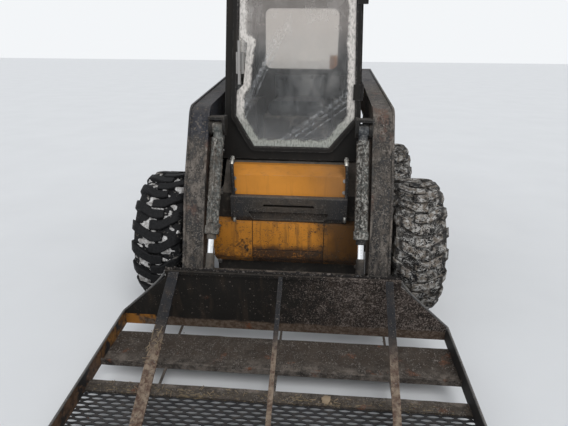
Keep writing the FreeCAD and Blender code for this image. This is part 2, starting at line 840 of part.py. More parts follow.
lean_angle = math.degrees(math.atan2(cab_lean, cab_top - cab_bottom))


def leant(shape):
    """Lean a piece drawn upright on the cab's front back with it."""
    turned = shape.copy()
    turned.rotate(V(0, cab_front, cab_bottom), V(1, 0, 0), -lean_angle)
    return turned


def door_outline(inset):
    """Corners (x, z, radius) of the door, drawn in by inset: chamfered below, narrower on its free side."""
    low = cab_bottom + door_low + inset
    knee = cab_bottom + door_knee + inset * 0.3
    high = cab_bottom + door_high - inset
    bottom_half = door_half_bottom - inset * 0.55
    knee_half = door_half_knee - inset
    top_half = door_half_top - inset
    return [
        (bottom_half, low, 50),
        (knee_half, knee, 55),
        (top_half, high, 70),
        (door_free_inset - top_half, high, 70),
        (door_free_inset - knee_half, knee, 55),
        (-bottom_half, low, 50),
    ]


def side_window_hole(inset):
    """Opening of a side window, through both sides."""
    corners = [
        (side_window["front"] + inset, side_window["bottom"] + inset, 60),
        (side_window["rear"] - inset, side_window["bottom"] + inset, 60),
        (side_window["rear"] - inset, side_window["top"] - inset, 60),
        (side_window["front"] + 55 + inset, side_window["top"] - inset, 60),
    ]
    return profile_x(corners, -2 * cab_half_bottom, 2 * cab_half_bottom)


def rear_window_hole(inset):
    half = rear_window_half - inset
    corners = [
        (-half, rear_window_bottom + inset, 50),
        (half, rear_window_bottom + inset, 50),
        (half, rear_window_top - inset, 50),
        (-half, rear_window_top - inset, 50),
    ]
    return profile_y(corners, cab_rear - 2 * cab_wall, cab_rear + 1)


front_hole = leant(profile_y(door_outline(door_frame_width + 4), cab_front - 60,
                             cab_front + 2 * cab_wall))
cab = cab_shell(0, cab_wall, cab_bottom, cab_top)
cab = cab.cut([front_hole, side_window_hole(0), rear_window_hole(0)])
keep("cab_frame", cab)

glass_depth = cab_wall / 2
window_band = cab_shell(glass_depth, glass_depth + window_glass, cab_bottom, cab_top)
side_only = box(-2 * cab_half_bottom, 2 * cab_half_bottom,
                side_window["front"] - 10, side_window["rear"] + 10,
                side_window["bottom"] - 10, side_window["top"] + 10)
keep("side_windows", window_band.common(side_window_hole(seat_gap)).common(side_only))
keep("rear_window", window_band.common(rear_window_hole(seat_gap)))

screen = cab_shell(1, 1 + screen_plate, cab_bottom, cab_top).common(side_window_hole(seat_gap))
screen_holes = []
column = (side_window["rear"] - side_window["front"] - screen_bar) / screen_columns
row = (side_window["top"] - side_window["bottom"] - screen_bar) / screen_rows
for i in range(screen_columns):
    for j in range(screen_rows):
        y0 = side_window["front"] + screen_bar + i * column
        z0 = side_window["bottom"] + screen_bar + j * row
        screen_holes.append(box(-cab_half_bottom, cab_half_bottom, y0, y0 + column - screen_bar,
                                z0, z0 + row - screen_bar))
keep("side_screens", screen.cut(screen_holes))

# Roof with rounded corners and a shallow raised middle
roof_half = cab_half_top + roof_overhang
roof_front = cab_front + cab_lean - 4 * roof_overhang
roof_rear = cab_rear + 8
roof_base = cab_top + seat_gap
roof = profile_z([
    (-roof_half, roof_front, 60),
    (roof_half, roof_front, 60),
    (roof_half, roof_rear, 40),
    (-roof_half, roof_rear, 40),
], roof_base, roof_base + roof_height)
raised = profile_z([
    (-roof_half + 70, roof_front + 110, 50),
    (roof_half - 70, roof_front + 110, 50),
    (roof_half - 70, roof_rear - 90, 50),
    (-roof_half + 70, roof_rear - 90, 50),
], roof_base + roof_height - 1, roof_base + roof_height + 16)
keep("cab_roof", fuse(roof, raised))

# Work lamps on the front edge of the roof
lamps = []
for lamp_place in (-1, 1):
    centre_x = lamp_place * (roof_half - 75)
    body = Part.makeCylinder(44, 46, V(centre_x, roof_front + 66, roof_base + roof_height + 52), V(0, -1, 0))
    foot = box(centre_x - 16, centre_x + 16, roof_front + 30, roof_front + 54,
               roof_base + roof_height + seat_gap, roof_base + roof_height + 20)
    lamps.append(fuse(body, foot))
keep("work_lamps", *lamps)

# Floor of the cab with the box that carries the seat
inside_bottom = cab_section(cab_bottom, cab_wall)
floor_half = inside_bottom[0] - seat_gap - 1
floor = box(-floor_half, floor_half, inside_bottom[1] + 2, inside_bottom[2] - seat_gap,
            cab_bottom - cab_floor_drop, cab_bottom - cab_floor_drop + floor_plate)
seat_box = profile_x([
    (seat_box_front, cab_bottom - cab_floor_drop, 0),
    (cab_rear - cab_wall - 20, cab_bottom - cab_floor_drop, 0),
    (cab_rear - cab_wall - 20, seat_box_top, 30),
    (seat_box_front + 30, seat_box_top, 30),
], -seat_box_half, seat_box_half)
keep("cab_floor", fuse(floor, seat_box))

cushion_bottom = seat_box_top + seat_gap
cushion = profile_z([
    (-seat_width / 2, seat_box_front + 20, 60),
    (seat_width / 2, seat_box_front + 20, 60),
    (seat_width / 2, seat_box_front + 20 + seat_depth, 40),
    (-seat_width / 2, seat_box_front + 20 + seat_depth, 40),
], cushion_bottom, cushion_bottom + cushion_thickness)
keep("seat_cushion", cushion)
back_front = seat_box_front + 20 + seat_depth + seat_gap
backrest = profile_y([
    (-seat_width / 2, cushion_bottom, 30),
    (seat_width / 2, cushion_bottom, 30),
    (seat_width / 2 - 30, cushion_bottom + backrest_height, 80),
    (-seat_width / 2 + 30, cushion_bottom + backrest_height, 80),
], back_front, back_front + backrest_thickness)
keep("seat_back", backrest)


# Consoles beside the seat, each with a short control lever
def console():
    outer = inside_bottom[0] - 26
    inner = outer - console_width
    body = profile_x([
        (seat_box_front - 60, cab_bottom - cab_floor_drop + floor_plate + seat_gap, 0),
        (seat_box_front + 420, cab_bottom - cab_floor_drop + floor_plate + seat_gap, 0),
        (seat_box_front + 420, console_top - 20, 40),
        (seat_box_front - 60, console_top, 50),
    ], inner, outer)
    lever_y = seat_box_front - 5
    middle = (inner + outer) / 2
    stick = Part.makeCylinder(9, 110, V(middle, lever_y, console_top - 20))
    grip = Part.makeCylinder(19, 90, V(middle, lever_y, console_top + 75))
    return fuse(body, stick, grip)


keep("control_consoles", *both_sides(console()))

# Front door
door_back = cab_front - seat_gap
door_face = door_back - door_thickness
door = profile_y(door_outline(0), door_face, door_back)
door_hole = profile_y(door_outline(door_frame_width), door_face - 1, door_back + 1)
hinges = []
for height in (360, 880):
    z0 = cab_bottom + height
    hinges.append(Part.makeCylinder(hinge_radius, hinge_length, V(hinge_x, door_face - hinge_radius / 2, z0)))
    hinges.append(box(door_half_top - door_frame_width + 4, hinge_x, door_face - hinge_radius / 2 - 3,
                      door_face + 4, z0, z0 + hinge_length))
keep("door_frame", leant(fuse(door.cut(door_hole), *hinges)))
glass_back = door_back - 8
pane = profile_y(door_outline(door_frame_width + seat_gap), glass_back - window_glass, glass_back)
keep("door_glass", leant(pane))
latch_z = cab_bottom + latch_height
latch_share = (latch_height - door_knee) / (door_high - door_knee)
free_edge = door_half_knee + (door_half_top - door_half_knee) * latch_share - door_free_inset
latch_x = -(free_edge - door_frame_width - latch_gap - latch_half)
latch = box(latch_x - latch_half, latch_x + latch_half, door_face - 22, glass_back - window_glass - seat_gap,
            latch_z - 60, latch_z + 60)
handle = rod(V(latch_x, door_face - 40, latch_z - 120), V(latch_x, door_face - 40, latch_z + 120), 9)
posts = []
for post_z in (latch_z - 50, latch_z + 50):
    posts.append(rod(V(latch_x, door_face - 40, post_z), V(latch_x, door_face - 10, post_z), 8))
keep("door_latch", leant(fuse(latch, handle, *posts)))


# Tray

tray_heel_z = tray_length * math.sin(math.radians(tray_pitch))


def pitched(shape):
    """Move a piece of the tray from its level place to its place on the arms."""
    turned = shape.copy()
    turned.rotate(V(0, 0, 0), V(1, 0, 0), tray_pitch)
    turned.translate(V(0, tray_heel_y, tray_heel_z))
    return turned


def level(y, z):
    """Point (y, z) of the machine, in the level tray's own frame."""
    turn = math.radians(tray_pitch)
    dy = y - tray_heel_y
    dz = z - tray_heel_z
    return dy * math.cos(turn) + dz * math.sin(turn), -dy * math.sin(turn) + dz * math.cos(turn)


def rail_x(forward):
    """Outer half width of the tray at a distance in front of its back wall."""
    return tray_back_half + (tray_front_half - tray_back_half) * forward / tray_length


back_right = [
    (tray_back_half - rail_plate - seat_gap, 0, 0),
    (back_wall_low_half, back_wall_low, 0),
    (back_wall_top_half, back_wall_shoulder, 30),
    (back_wall_top_half, back_wall_height, 12),
]
back_wall = profile_y(back_right + [(-x, z, radius) for x, z, radius in reversed(back_right)], -tray_plate, 0)
top_edge = box(-back_wall_top_half + 4, back_wall_top_half - 4, -tray_plate - 14, 0, back_wall_height - 16,
               back_wall_height)
keep("tray_back", pitched(fuse(back_wall, top_edge)))

rail = profile_z(square([
    (rail_x(0) - rail_plate, 0),
    (rail_x(0), 0),
    (rail_x(tray_length), -tray_length),
    (rail_x(tray_length) - rail_plate, -tray_length),
]), 0, rail_height)
nose_trim = profile_x(square([
    (-tray_length - 1, front_edge_plate + 4),
    (-tray_length - 1, rail_height + 1),
    (-tray_length + 150, rail_height + 1),
]), tray_back_half - 60, tray_front_half + 1)
keep("tray_sides", *[pitched(piece) for piece in both_sides(rail.cut(nose_trim))])


def floor_strip(near, far, z0, z1):
    """Strip of floor between two distances in front of the back wall, from rail to rail."""
    inner_near = rail_x(near) - rail_plate - seat_gap
    inner_far = rail_x(far) - rail_plate - seat_gap
    corners = [(-inner_near, -near), (inner_near, -near), (inner_far, -far), (-inner_far, -far)]
    return profile_z(square(corners), z0, z1)


slat_far = floor_strip(floor_gap_1[1], slat_middle, 0, tray_plate)
slat_near = floor_strip(slat_middle - 1, floor_gap_2[0], 0, tray_plate + slat_step)
slat_lip = floor_strip(floor_gap_2[0] - 10, floor_gap_2[0], 0, 34)
edge_bar = floor_strip(floor_gap_2[1], floor_bar_end, 0, tray_plate + slat_step)
cutting_edge = floor_strip(tray_length - front_edge, tray_length, 0, front_edge_plate)
runners = []
for runner_x in (-bar_spacing, 0, bar_spacing):
    runners.append(box(runner_x - runner_half, runner_x + runner_half, -floor_gap_2[1] - 1,
                       -tray_plate - seat_gap, 0, tray_plate))
floor_back = fuse(slat_far, slat_near, slat_lip, edge_bar, *runners)
keep("tray_floor", pitched(floor_back), pitched(cutting_edge))


def mesh_panel():
    """Open mesh between the edge bar and the cutting edge: crossing strands in a rim."""
    near = floor_bar_end + seat_gap
    far = tray_length - front_edge - seat_gap
    whole = floor_strip(near, far, 0, mesh_plate)
    half = rail_x(near) - rail_plate - mesh_strand
    width = 2 * half / mesh_columns
    depth = (far - near - 2 * mesh_strand) / mesh_rows
    holes = []
    for row_index in range(2 * mesh_rows - 1):
        centre_y = -near - mesh_strand - depth * (row_index + 1) / 2
        shift = width / 2 if row_index % 2 == 0 else width
        for column_index in range(mesh_columns if row_index % 2 == 0 else mesh_columns - 1):
            centre_x = -half + shift + column_index * width
            a = width / 2 - mesh_strand * 0.9
            b = depth / 2 - mesh_strand * 0.55
            corners = [(centre_x - a, centre_y), (centre_x, centre_y - b), (centre_x + a, centre_y),
                       (centre_x, centre_y + b)]
            holes.append(profile_z(square(corners), -1, mesh_plate + 1))
    return whole.cut(holes)


keep("tray_mesh", pitched(mesh_panel()))


def sloping_bar(x, width):
    """Flat bar from the back wall's top edge down to the floor."""
    top = V(x - width / 2, -tray_plate - 14 - seat_gap, back_wall_height - bar_plate)
    foot = V(x - width / 2, bar_foot_back - tray_length, mesh_plate + seat_gap)
    run = foot - top
    across = V(0, -run.z, run.y).normalize() * -bar_plate
    corners = [top, foot, foot + across, top + across]
    return Part.Face(Part.makePolygon(corners + corners[:1])).extrude(V(width, 0, 0))


floor_cut = box(-tray_front_half, tray_front_half, -2 * tray_length, 0, -50, mesh_plate + seat_gap)
edge_cut = box(-tray_front_half, tray_front_half, -2 * tray_length, -tray_length + front_edge + seat_gap, -50,
               front_edge_plate + seat_gap)
bars = []
for bar_x, width in ((-bar_spacing, side_bar_width), (0.0, middle_bar_width), (bar_spacing, side_bar_width)):
    bars.append(pitched(sloping_bar(bar_x, width).cut([floor_cut, edge_cut])))
keep("tray_bars", *bars)


# Coupler

def coupler_frame():
    """Plate behind the back wall with ears for the arms' noses and for the tilt rods."""
    plate = profile_y([
        (-coupler_half, coupler_low, 30),
        (coupler_half, coupler_low, 30),
        (coupler_half, coupler_high - 90, 60),
        (coupler_half - 110, coupler_high, 60),
        (-coupler_half + 110, coupler_high, 60),
        (-coupler_half, coupler_high - 90, 60),
    ], seat_gap, seat_gap + coupler_plate)
    window = profile_y([
        (-coupler_window_half, coupler_low + 60, 30),
        (coupler_window_half, coupler_low + 60, 30),
        (coupler_window_half, coupler_high - 60, 30),
        (-coupler_window_half, coupler_high - 60, 30),
    ], 0, 2 * coupler_plate)
    pieces = []
    ty, tz = level(nose_y, nose_z)
    ey, ez = level(tilt_eye_y, tilt_eye_z)
    nose_ear_corners = [
        (coupler_plate, coupler_low + 10, 0),
        (ty + 10, tz - arm_nose_boss + 16, 40),
        (ty + arm_nose_boss - 16, tz + 10, 40),
        (ty + 10, tz + arm_nose_boss - 10, 40),
        (coupler_plate, coupler_high - 130, 0),
    ]
    for x0, x1 in ((arm_in + 2, arm_nose_in - side_play), (arm_nose_out + side_play, arm_out - 2)):
        pieces.append(profile_x(nose_ear_corners, x0, x1))
        pieces.append(disc_x(ty, tz, arm_nose_boss - 16, x0, x1))
    pieces.append(disc_x(ty, tz, nose_pin_radius, arm_in + 4, arm_out - 4))
    tilt_ear_corners = [
        (coupler_plate, coupler_high - 150, 0),
        (ey + 6, ez - tilt_eye_radius + 2, 30),
        (ey + tilt_eye_radius - 4, ez + 10, 30),
        (ey, ez + tilt_eye_radius - 2, 30),
        (coupler_plate, coupler_high - 8, 0),
    ]
    ear_in = tilt_cylinder_x - tilt_eye_width / 2 - eye_play
    ear_out = tilt_cylinder_x + tilt_eye_width / 2 + eye_play
    for x0, x1 in ((ear_in - tilt_ear, ear_in), (ear_out, ear_out + tilt_ear - 3)):
        pieces.append(profile_x(tilt_ear_corners, x0, x1))
        pieces.append(disc_x(ey, ez, tilt_eye_radius - 6, x0, x1))
    pieces.append(disc_x(ey, ez, tilt_pin_radius + 10, ear_in - tilt_ear - 8, ear_in - tilt_ear + 1))
    frame = plate.cut(window)
    return fuse(frame, *pieces, *[mirrored(piece) for piece in pieces])


keep("coupler", pitched(coupler_frame()))


def lever():
    """Latch handle of the coupler: a wedge guide with a cranked handle."""
    back = seat_gap + coupler_plate + seat_gap
    guide = box(lever_x - 26, lever_x + 26, back, back + 26, coupler_low + 20, coupler_high - 70)
    pivot = Part.makeCylinder(16, 30, V(lever_x, back + 20, coupler_high - 110), V(0, 1, 0))
    handle = rod(V(lever_x, back + 42, coupler_high - 110),
                 V(lever_x + lever_length * 0.45, back + 42, coupler_high - 110 + lever_length * 0.4), 9)
    return fuse(guide, pivot, handle)


keep("coupler_levers", *[pitched(piece) for piece in both_sides(lever())])


# Write every piece with the middle of the whole machine at Y = 0

whole = FreeCAD.BoundBox()
for shape in parts.values():
    whole.add(shape.BoundBox)
shift_y = -(whole.YMin + whole.YMax) / 2

os.makedirs("parts", exist_ok=True)
for name, shape in parts.items():
    placed = shape.copy()
    placed.translate(V(0, shift_y, 0))
    placed.exportStep("parts/" + name + ".step")
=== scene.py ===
"""Finishes and detail pieces of a skid steer loader with a low mesh tray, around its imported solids."""
import math
import random

import bmesh
import bpy
from bpy.props import FloatProperty, FloatVectorProperty, IntProperty, PointerProperty
from mathutils import Matrix, Vector, noise
from mathutils.bvhtree import BVHTree


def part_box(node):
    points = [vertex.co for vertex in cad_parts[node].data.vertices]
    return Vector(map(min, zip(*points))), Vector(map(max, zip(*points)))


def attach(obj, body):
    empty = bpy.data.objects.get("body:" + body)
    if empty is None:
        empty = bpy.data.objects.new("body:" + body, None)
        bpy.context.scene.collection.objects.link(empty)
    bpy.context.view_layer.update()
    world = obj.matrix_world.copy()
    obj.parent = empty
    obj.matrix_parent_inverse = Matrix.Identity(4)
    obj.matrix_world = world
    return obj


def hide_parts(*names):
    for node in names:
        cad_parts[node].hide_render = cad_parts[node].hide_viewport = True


bl_info = {
    "name": "Skid Steer Loader",
    "version": (1, 0, 0),
    "blender": (4, 5, 0),
    "location": "3D View > Sidebar > Loader",
    "description": "Finishes and detail pieces of a skid steer loader with a low mesh tray",
    "category": "Object",
}

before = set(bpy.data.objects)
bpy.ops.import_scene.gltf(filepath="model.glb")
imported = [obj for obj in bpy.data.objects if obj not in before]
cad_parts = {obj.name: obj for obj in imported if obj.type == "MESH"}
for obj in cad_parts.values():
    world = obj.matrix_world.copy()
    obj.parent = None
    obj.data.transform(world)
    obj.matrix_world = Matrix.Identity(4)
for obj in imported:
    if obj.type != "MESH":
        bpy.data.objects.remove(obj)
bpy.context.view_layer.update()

# Places on the machine, in metres. It faces -Y, +X is its left side.
WHEELS = {"front": -0.285184, "rear": 0.844816}
WHEEL_SIDE = 0.761
AXLE_HEIGHT = 0.42
CAB_PIVOT = Vector((0.0, -0.293184, 0.952))
CAB_LEAN = math.radians(5.016921)
TRAY_HEEL = Vector((0.0, -0.918184, 0.14314))
TRAY_PITCH = math.radians(9.0)
LIFT_BASE = Vector((0.525, 0.914816, 0.61))
LIFT_LINE = Vector((0.0, -0.835171, 0.549991))
TILT_BASE = Vector((0.415, -0.435184, 1.16))
TILT_LINE = Vector((0.0, -0.451965, -0.892036))
ARM_PIN = (0.5940, 0.094816, 1.15)
SIDES = (("left", 1), ("right", -1))
ACROSS, AHEAD, BEHIND, DOWN = Vector((1, 0, 0)), Vector((0, -1, 0)), Vector((0, 1, 0)), Vector((0, 0, -1))

FINISH = {}


def length(name, description, default):
    return FloatProperty(name=name, description=description, default=default, unit="LENGTH")


def colour(name, description, default):
    return FloatVectorProperty(name=name, description=description, subtype="COLOR", size=3, default=default, min=0, max=1)


class LoaderSizes(bpy.types.PropertyGroup):
    lug_count: IntProperty(name="Lugs", description="Lugs on each half of a tyre's tread", default=19, min=12, max=40)
    lug_height: length("Tread radius", "Radius over the lugs", 0.4195)
    lug_width: length("Lug width", "Width of a lug at its top", 0.052)
    mesh_width: length("Mesh width", "Long way of a cell in the tray's mesh", 0.0650)
    mesh_depth: length("Mesh depth", "Short way of a cell in the tray's mesh", 0.0405)
    mesh_strand: length("Mesh strand", "Width of a strand of the mesh", 0.0105)
    nut_size: length("Wheel nut", "Radius of a wheel nut over its corners", 0.0155)
    bolt_size: length("Bolt", "Radius of a bolt head over its corners", 0.011)
    seat_cap: length("Seat swell", "Furthest that a seat's cover swells", 0.016)


class LoaderColours(bpy.types.PropertyGroup):
    yellow: colour("Yellow paint", "Paint of the panels", (0.62, 0.245, 0.03))
    black: colour("Frame paint", "Paint of the cab and chassis", (0.010, 0.0095, 0.009))
    arm: colour("Arm paint", "Paint of the arms", (0.044, 0.048, 0.053))
    tray: colour("Tray steel", "Dark steel of the tray", (0.012, 0.011, 0.010))
    dirt: colour("Dried dirt", "Brown-grey caked dirt", (0.17, 0.145, 0.12))
    mud: colour("Wet mud", "Dark brown mud", (0.055, 0.038, 0.026))
    pale: colour("Pale dirt", "Frozen, nearly white dirt", (0.46, 0.45, 0.43))
    rust: colour("Rust", "Orange-brown rust", (0.17, 0.066, 0.032))
    steel: colour("Bare steel", "Worn bare metal", (0.33, 0.32, 0.31))
    rubber: colour("Rubber", "Tyres and hoses", (0.014, 0.014, 0.015))
    vinyl: colour("Seat vinyl", "Cover of the seat", (0.030, 0.037, 0.047))


# Places turned with the cab's front and with the tray


def leant(point):
    """A point drawn on an upright cab front, leant back with it."""
    return Matrix.Rotation(-CAB_LEAN, 4, "X") @ (Vector(point) - CAB_PIVOT) + CAB_PIVOT


def on_tray(across, forward, up):
    """A point of the tray, from its heel: across, forward along its floor, and up from it."""
    return Matrix.Rotation(TRAY_PITCH, 4, "X") @ Vector((across, -forward, up)) + TRAY_HEEL


def on_side(point, side):
    """A point of the left side, on the side of that sign."""
    return Vector((side * point.x, point.y, point.z))


# Shapes


def edges_of(verts):
    return list({e for v in verts for e in v.link_edges})


def ease(bm, geom, offset, segments=2, affect="EDGES"):
    """Bevels edges or corners."""
    bmesh.ops.bevel(
        bm, geom=geom, offset=offset, offset_type="OFFSET", affect=affect, segments=segments, profile=0.5, material=-1)


def add_part(bm, part):
    """Moves the whole of another bmesh into this one."""
    mesh = bpy.data.meshes.new("part")
    part.to_mesh(mesh)
    part.free()
    bm.from_mesh(mesh)
    bpy.data.meshes.remove(mesh)


def add_round(bm, start, end, radius, end_radius=None, sides=24, bevel=0.0):
    """Round bar or cone between two points."""
    start, end = Vector(start), Vector(end)
    run = end - start
    stand = Matrix.Translation((start + end) / 2) @ run.to_track_quat("Z", "Y").to_matrix().to_4x4()
    made = bmesh.ops.create_cone(
        bm, cap_ends=True, segments=sides, radius1=radius, depth=run.length, matrix=stand,
        radius2=radius if end_radius is None else end_radius)
    if bevel:
        ease(bm, [e for e in edges_of(made["verts"]) if any(len(f.verts) > 4 for f in e.link_faces)], bevel)


def add_block(bm, low, high, bevel, segments=2):
    """Block between two corners, with its edges eased."""
    low, high = Vector(low), Vector(high)
    place = Matrix.Translation((low + high) / 2) @ Matrix.Diagonal((*(high - low), 1.0))
    made = bmesh.ops.create_cube(bm, size=1.0, matrix=place)
    ease(bm, edges_of(made["verts"]), bevel, segments)


def add_turned(bm, section, centre, axis, steps, closed=True):
    """Section of (along, out) points spun about an axis: a ring where it closes, else a solid that ends on the axis."""
    axis = Vector(axis).normalized()
    out = axis.orthogonal().normalized()
    verts = [bm.verts.new(Vector(centre) + axis * a + out * r) for a, r in section]
    ends = verts[1:] + verts[:1] if closed else verts[1:]
    edges = [bm.edges.new(pair) for pair in zip(verts, ends)]
    bmesh.ops.spin(
        bm, geom=verts + edges, cent=centre, axis=axis, angle=2 * math.pi, steps=steps, use_merge=True,
        use_duplicate=False)


def add_hex(bm, face, axis, radius, height, washer=True):
    """Bolt head or nut on a face."""
    axis = Vector(axis).normalized()
    face = Vector(face)
    if washer:
        add_round(bm, face - axis * 0.001, face + axis * 0.0025, radius * 1.3, sides=16)
    add_round(bm, face, face + axis * height, radius, radius * 0.97, sides=6)


def add_tube(bm, points, radius, sides=10):
    """Bent pipe or hose through points."""
    curve = bpy.data.curves.new("run", "CURVE")
    curve.dimensions = "3D"
    curve.bevel_depth = radius
    curve.bevel_resolution = sides // 4
    curve.resolution_u = 8
    curve.use_fill_caps = True
    spline = curve.splines.new("NURBS")
    spline.points.add(len(points) - 1)
    for knot, point in zip(spline.points, points):
        knot.co = (*point, 1.0)
    spline.order_u = 3
    spline.use_endpoint_u = True
    holder = bpy.data.objects.new("run", curve)
    bpy.context.scene.collection.objects.link(holder)
    mesh = bpy.data.meshes.new_from_object(holder.evaluated_get(bpy.context.evaluated_depsgraph_get()))
    bm.from_mesh(mesh)
    bpy.data.objects.remove(holder)
    bpy.data.curves.remove(curve)
    bpy.data.meshes.remove(mesh)


def add_ring_plate(bm, corners, width, depth, back, corner=0.012):
    """Flat ring inside an outline of corners, width wide and depth thick towards back."""
    face = bm.faces.new([bm.verts.new(c) for c in corners])
    if corner:
        ease(bm, list(face.verts), corner, 5, "VERTICES")
    bm.normal_update()
    face = max(bm.faces, key=lambda f: f.calc_area())
    bmesh.ops.inset_region(bm, faces=[face], thickness=width, use_boundary=True, use_even_offset=True)
    bmesh.ops.delete(bm, geom=[face], context="FACES_ONLY")
    made = bmesh.ops.extrude_face_region(bm, geom=list(bm.faces))
    moved = [v for v in made["geom"] if isinstance(v, bmesh.types.BMVert)]
    bmesh.ops.translate(bm, verts=moved, vec=Vector(back).normalized() * depth)


def add_clod(bm, place, outwards, size, flat, seed):
    """Small rough lump that sits on a surface."""
    made = bmesh.ops.create_icosphere(bm, subdivisions=1, radius=1.0)
    for v in made["verts"]:
        v.co *= 0.75 + 0.5 * noise.noise(v.co * 1.7 + Vector((seed, seed * 0.37, 0.0)))
    lie = Vector(outwards).to_track_quat("Z", "Y").to_matrix().to_4x4()
    spin = Matrix.Rotation(seed * 2.4, 4, "Z")
    shape = Matrix.Diagonal((size, size * (0.6 + 0.4 * math.sin(seed) ** 2), size * flat, 1.0))
    bmesh.ops.transform(bm, matrix=Matrix.Translation(place) @ lie @ spin @ shape, verts=made["verts"])


def add_bar(bm, cuts, shape):
    """Bar cut across into slices along X and Y, its vertices placed by a shape of their unit places."""
    one = bmesh.new()
    bmesh.ops.create_cube(one, size=1.0)
    for axis, count in enumerate(cuts):
        if count:
            way = [e for e in one.edges if abs(e.verts[0].co[axis] - e.verts[1].co[axis]) > 0.5]
            bmesh.ops.subdivide_edges(one, edges=way, cuts=count, use_grid_fill=True)
    for v in one.verts:
        v.co = shape(v.co.copy())
    add_part(bm, one)


def piece(name, bm, body, finish, stands_for=(), sharp=35.0, merge=0):
    """Makes a finished mesh the piece of that name, riding on a body."""
    if merge:
        bmesh.ops.remove_doubles(bm, verts=bm.verts, dist=merge)
    bmesh.ops.recalc_face_normals(bm, faces=bm.faces)
    mesh = bpy.data.meshes.new(name)
    bm.to_mesh(mesh)
    bm.free()
    mesh.materials.append(FINISH[finish])
    mesh.shade_smooth()
    mesh.set_sharp_from_angle(angle=math.radians(sharp))
    obj = bpy.data.objects.new(name, mesh)
    bpy.context.scene.collection.objects.link(obj)
    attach(obj, body)
    if stands_for:
        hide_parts(*stands_for)
    return obj


def surface_of(node):
    """Ray-castable surface of a CAD node at rest."""
    bm = bmesh.new()
    bm.from_mesh(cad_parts[node].data)
    tree = BVHTree.FromBMesh(bm)
    bm.free()
    return tree


def each_wheel():
    """Name, side's label, side and axle place of every wheel."""
    for end, hub in WHEELS.items():
        for label, side in SIDES:
            yield end + "_" + label, label, side, hub


# Shader nodes


class Net:
    """Adds and joins the nodes of one tree."""

    def __init__(self, tree):
        self.tree = tree

    def add(self, kind, values=None, **settings):
        made = self.tree.nodes.new(kind)
        for key, value in settings.items():
            setattr(made, key, value)
        for key, value in (values or {}).items():
            self.put(made.inputs[key], value)
        return made

    def put(self, socket, value):
        if isinstance(value, bpy.types.NodeSocket):
            self.tree.links.new(value, socket)
        elif socket.type == "RGBA" and len(value) == 3:
            socket.default_value = (*value, 1.0)
        else:
            socket.default_value = value

    def math(self, operation, a, b=0.0, clamp=False):
        return self.add("ShaderNodeMath", {0: a, 1: b}, operation=operation, use_clamp=clamp).outputs[0]

    def over(self, operation, values, clamp):
        """One operation over several values from the left, clamped at the end."""
        total = values[0]
        for number, value in enumerate(values[1:], 2):
            total = self.math(operation, total, value, clamp and number == len(values))
        return total

    def times(self, *values, clamp=False):
        return self.over("MULTIPLY", values, clamp)

    def plus(self, *values, clamp=False):
        return self.over("ADD", values, clamp)

    def most(self, *values, clamp=False):
        return self.over("MAXIMUM", values, clamp)

    def minus(self, a, b):
        return self.math("SUBTRACT", a, b)

    def ramp(self, value, low, high, to_low=0.0, to_high=1.0):
        values = {"Value": value, "From Min": low, "From Max": high, "To Min": to_low, "To Max": to_high}
        return self.add("ShaderNodeMapRange", values, interpolation_type="SMOOTHSTEP").outputs["Result"]

    def mix(self, share, a, b):
        return self.add("ShaderNodeMix", {0: share, 6: a, 7: b}, data_type="RGBA").outputs[2]

    def blend(self, share, a, b):
        return self.add("ShaderNodeMix", {0: share, 2: a, 3: b}, data_type="FLOAT").outputs[0]

    def noise(self, place, scale, detail=4.0, roughness=0.55):
        values = {"Vector": place, "Scale": scale, "Detail": detail, "Roughness": roughness}
        return self.add("ShaderNodeTexNoise", values).outputs["Fac"]

    def patches(self, place, scale, detail, roughness, low, high):
        """Noise cut off between two levels."""
        return self.ramp(self.noise(place, scale, detail, roughness), low, high)

    def wavy(self, value, place, scale, amount):
        """A value with noise of that amount on it."""
        return self.plus(value, self.times(self.noise(place, scale, 5.0), amount))

    def moved(self, place, location=(0, 0, 0), scale=(1, 1, 1)):
        return self.add("ShaderNodeMapping", {"Vector": place, "Location": location, "Scale": scale}).outputs[0]

    def drawn(self, place, tall):
        """Place whose patterns are drawn out along Z."""
        return self.moved(place, scale=(1.0, 1.0, tall))

    def parts(self, place):
        return self.add("ShaderNodeSeparateXYZ", {0: place}).outputs

    def bump(self, strength, distance, height):
        return self.add("ShaderNodeBump", {"Strength": strength, "Distance": distance, "Height": height}).outputs[0]

    def effect(self, name, **values):
        made = self.add("ShaderNodeGroup", node_tree=bpy.data.node_groups[name])
        for key, value in values.items():
            self.put(made.inputs[key.replace("_", " ").capitalize()], value)
        return made.outputs


VALUE, VECTOR, COLOUR = "NodeSocketFloat", "NodeSocketVector", "NodeSocketColor"
PLACE = ("Place", VECTOR, None)
MASK, TONE, HEIGHT = ("Mask", VALUE), ("Tone", VALUE), ("Height", VALUE)


def start_effect(name, inputs, outputs):
    """New shader node group with named sockets: its net, its inputs and its outputs."""
    tree = bpy.data.node_groups.new(name, "ShaderNodeTree")
    for label, kind, value in inputs:
        socket = tree.interface.new_socket(name=label, in_out="INPUT", socket_type=kind)
        if value is not None:
            socket.default_value = value
    for label, kind in outputs:
        tree.interface.new_socket(name=label, in_out="OUTPUT", socket_type=kind)
    net = Net(tree)
    return net, net.add("NodeGroupInput").outputs, net.add("NodeGroupOutput").inputs


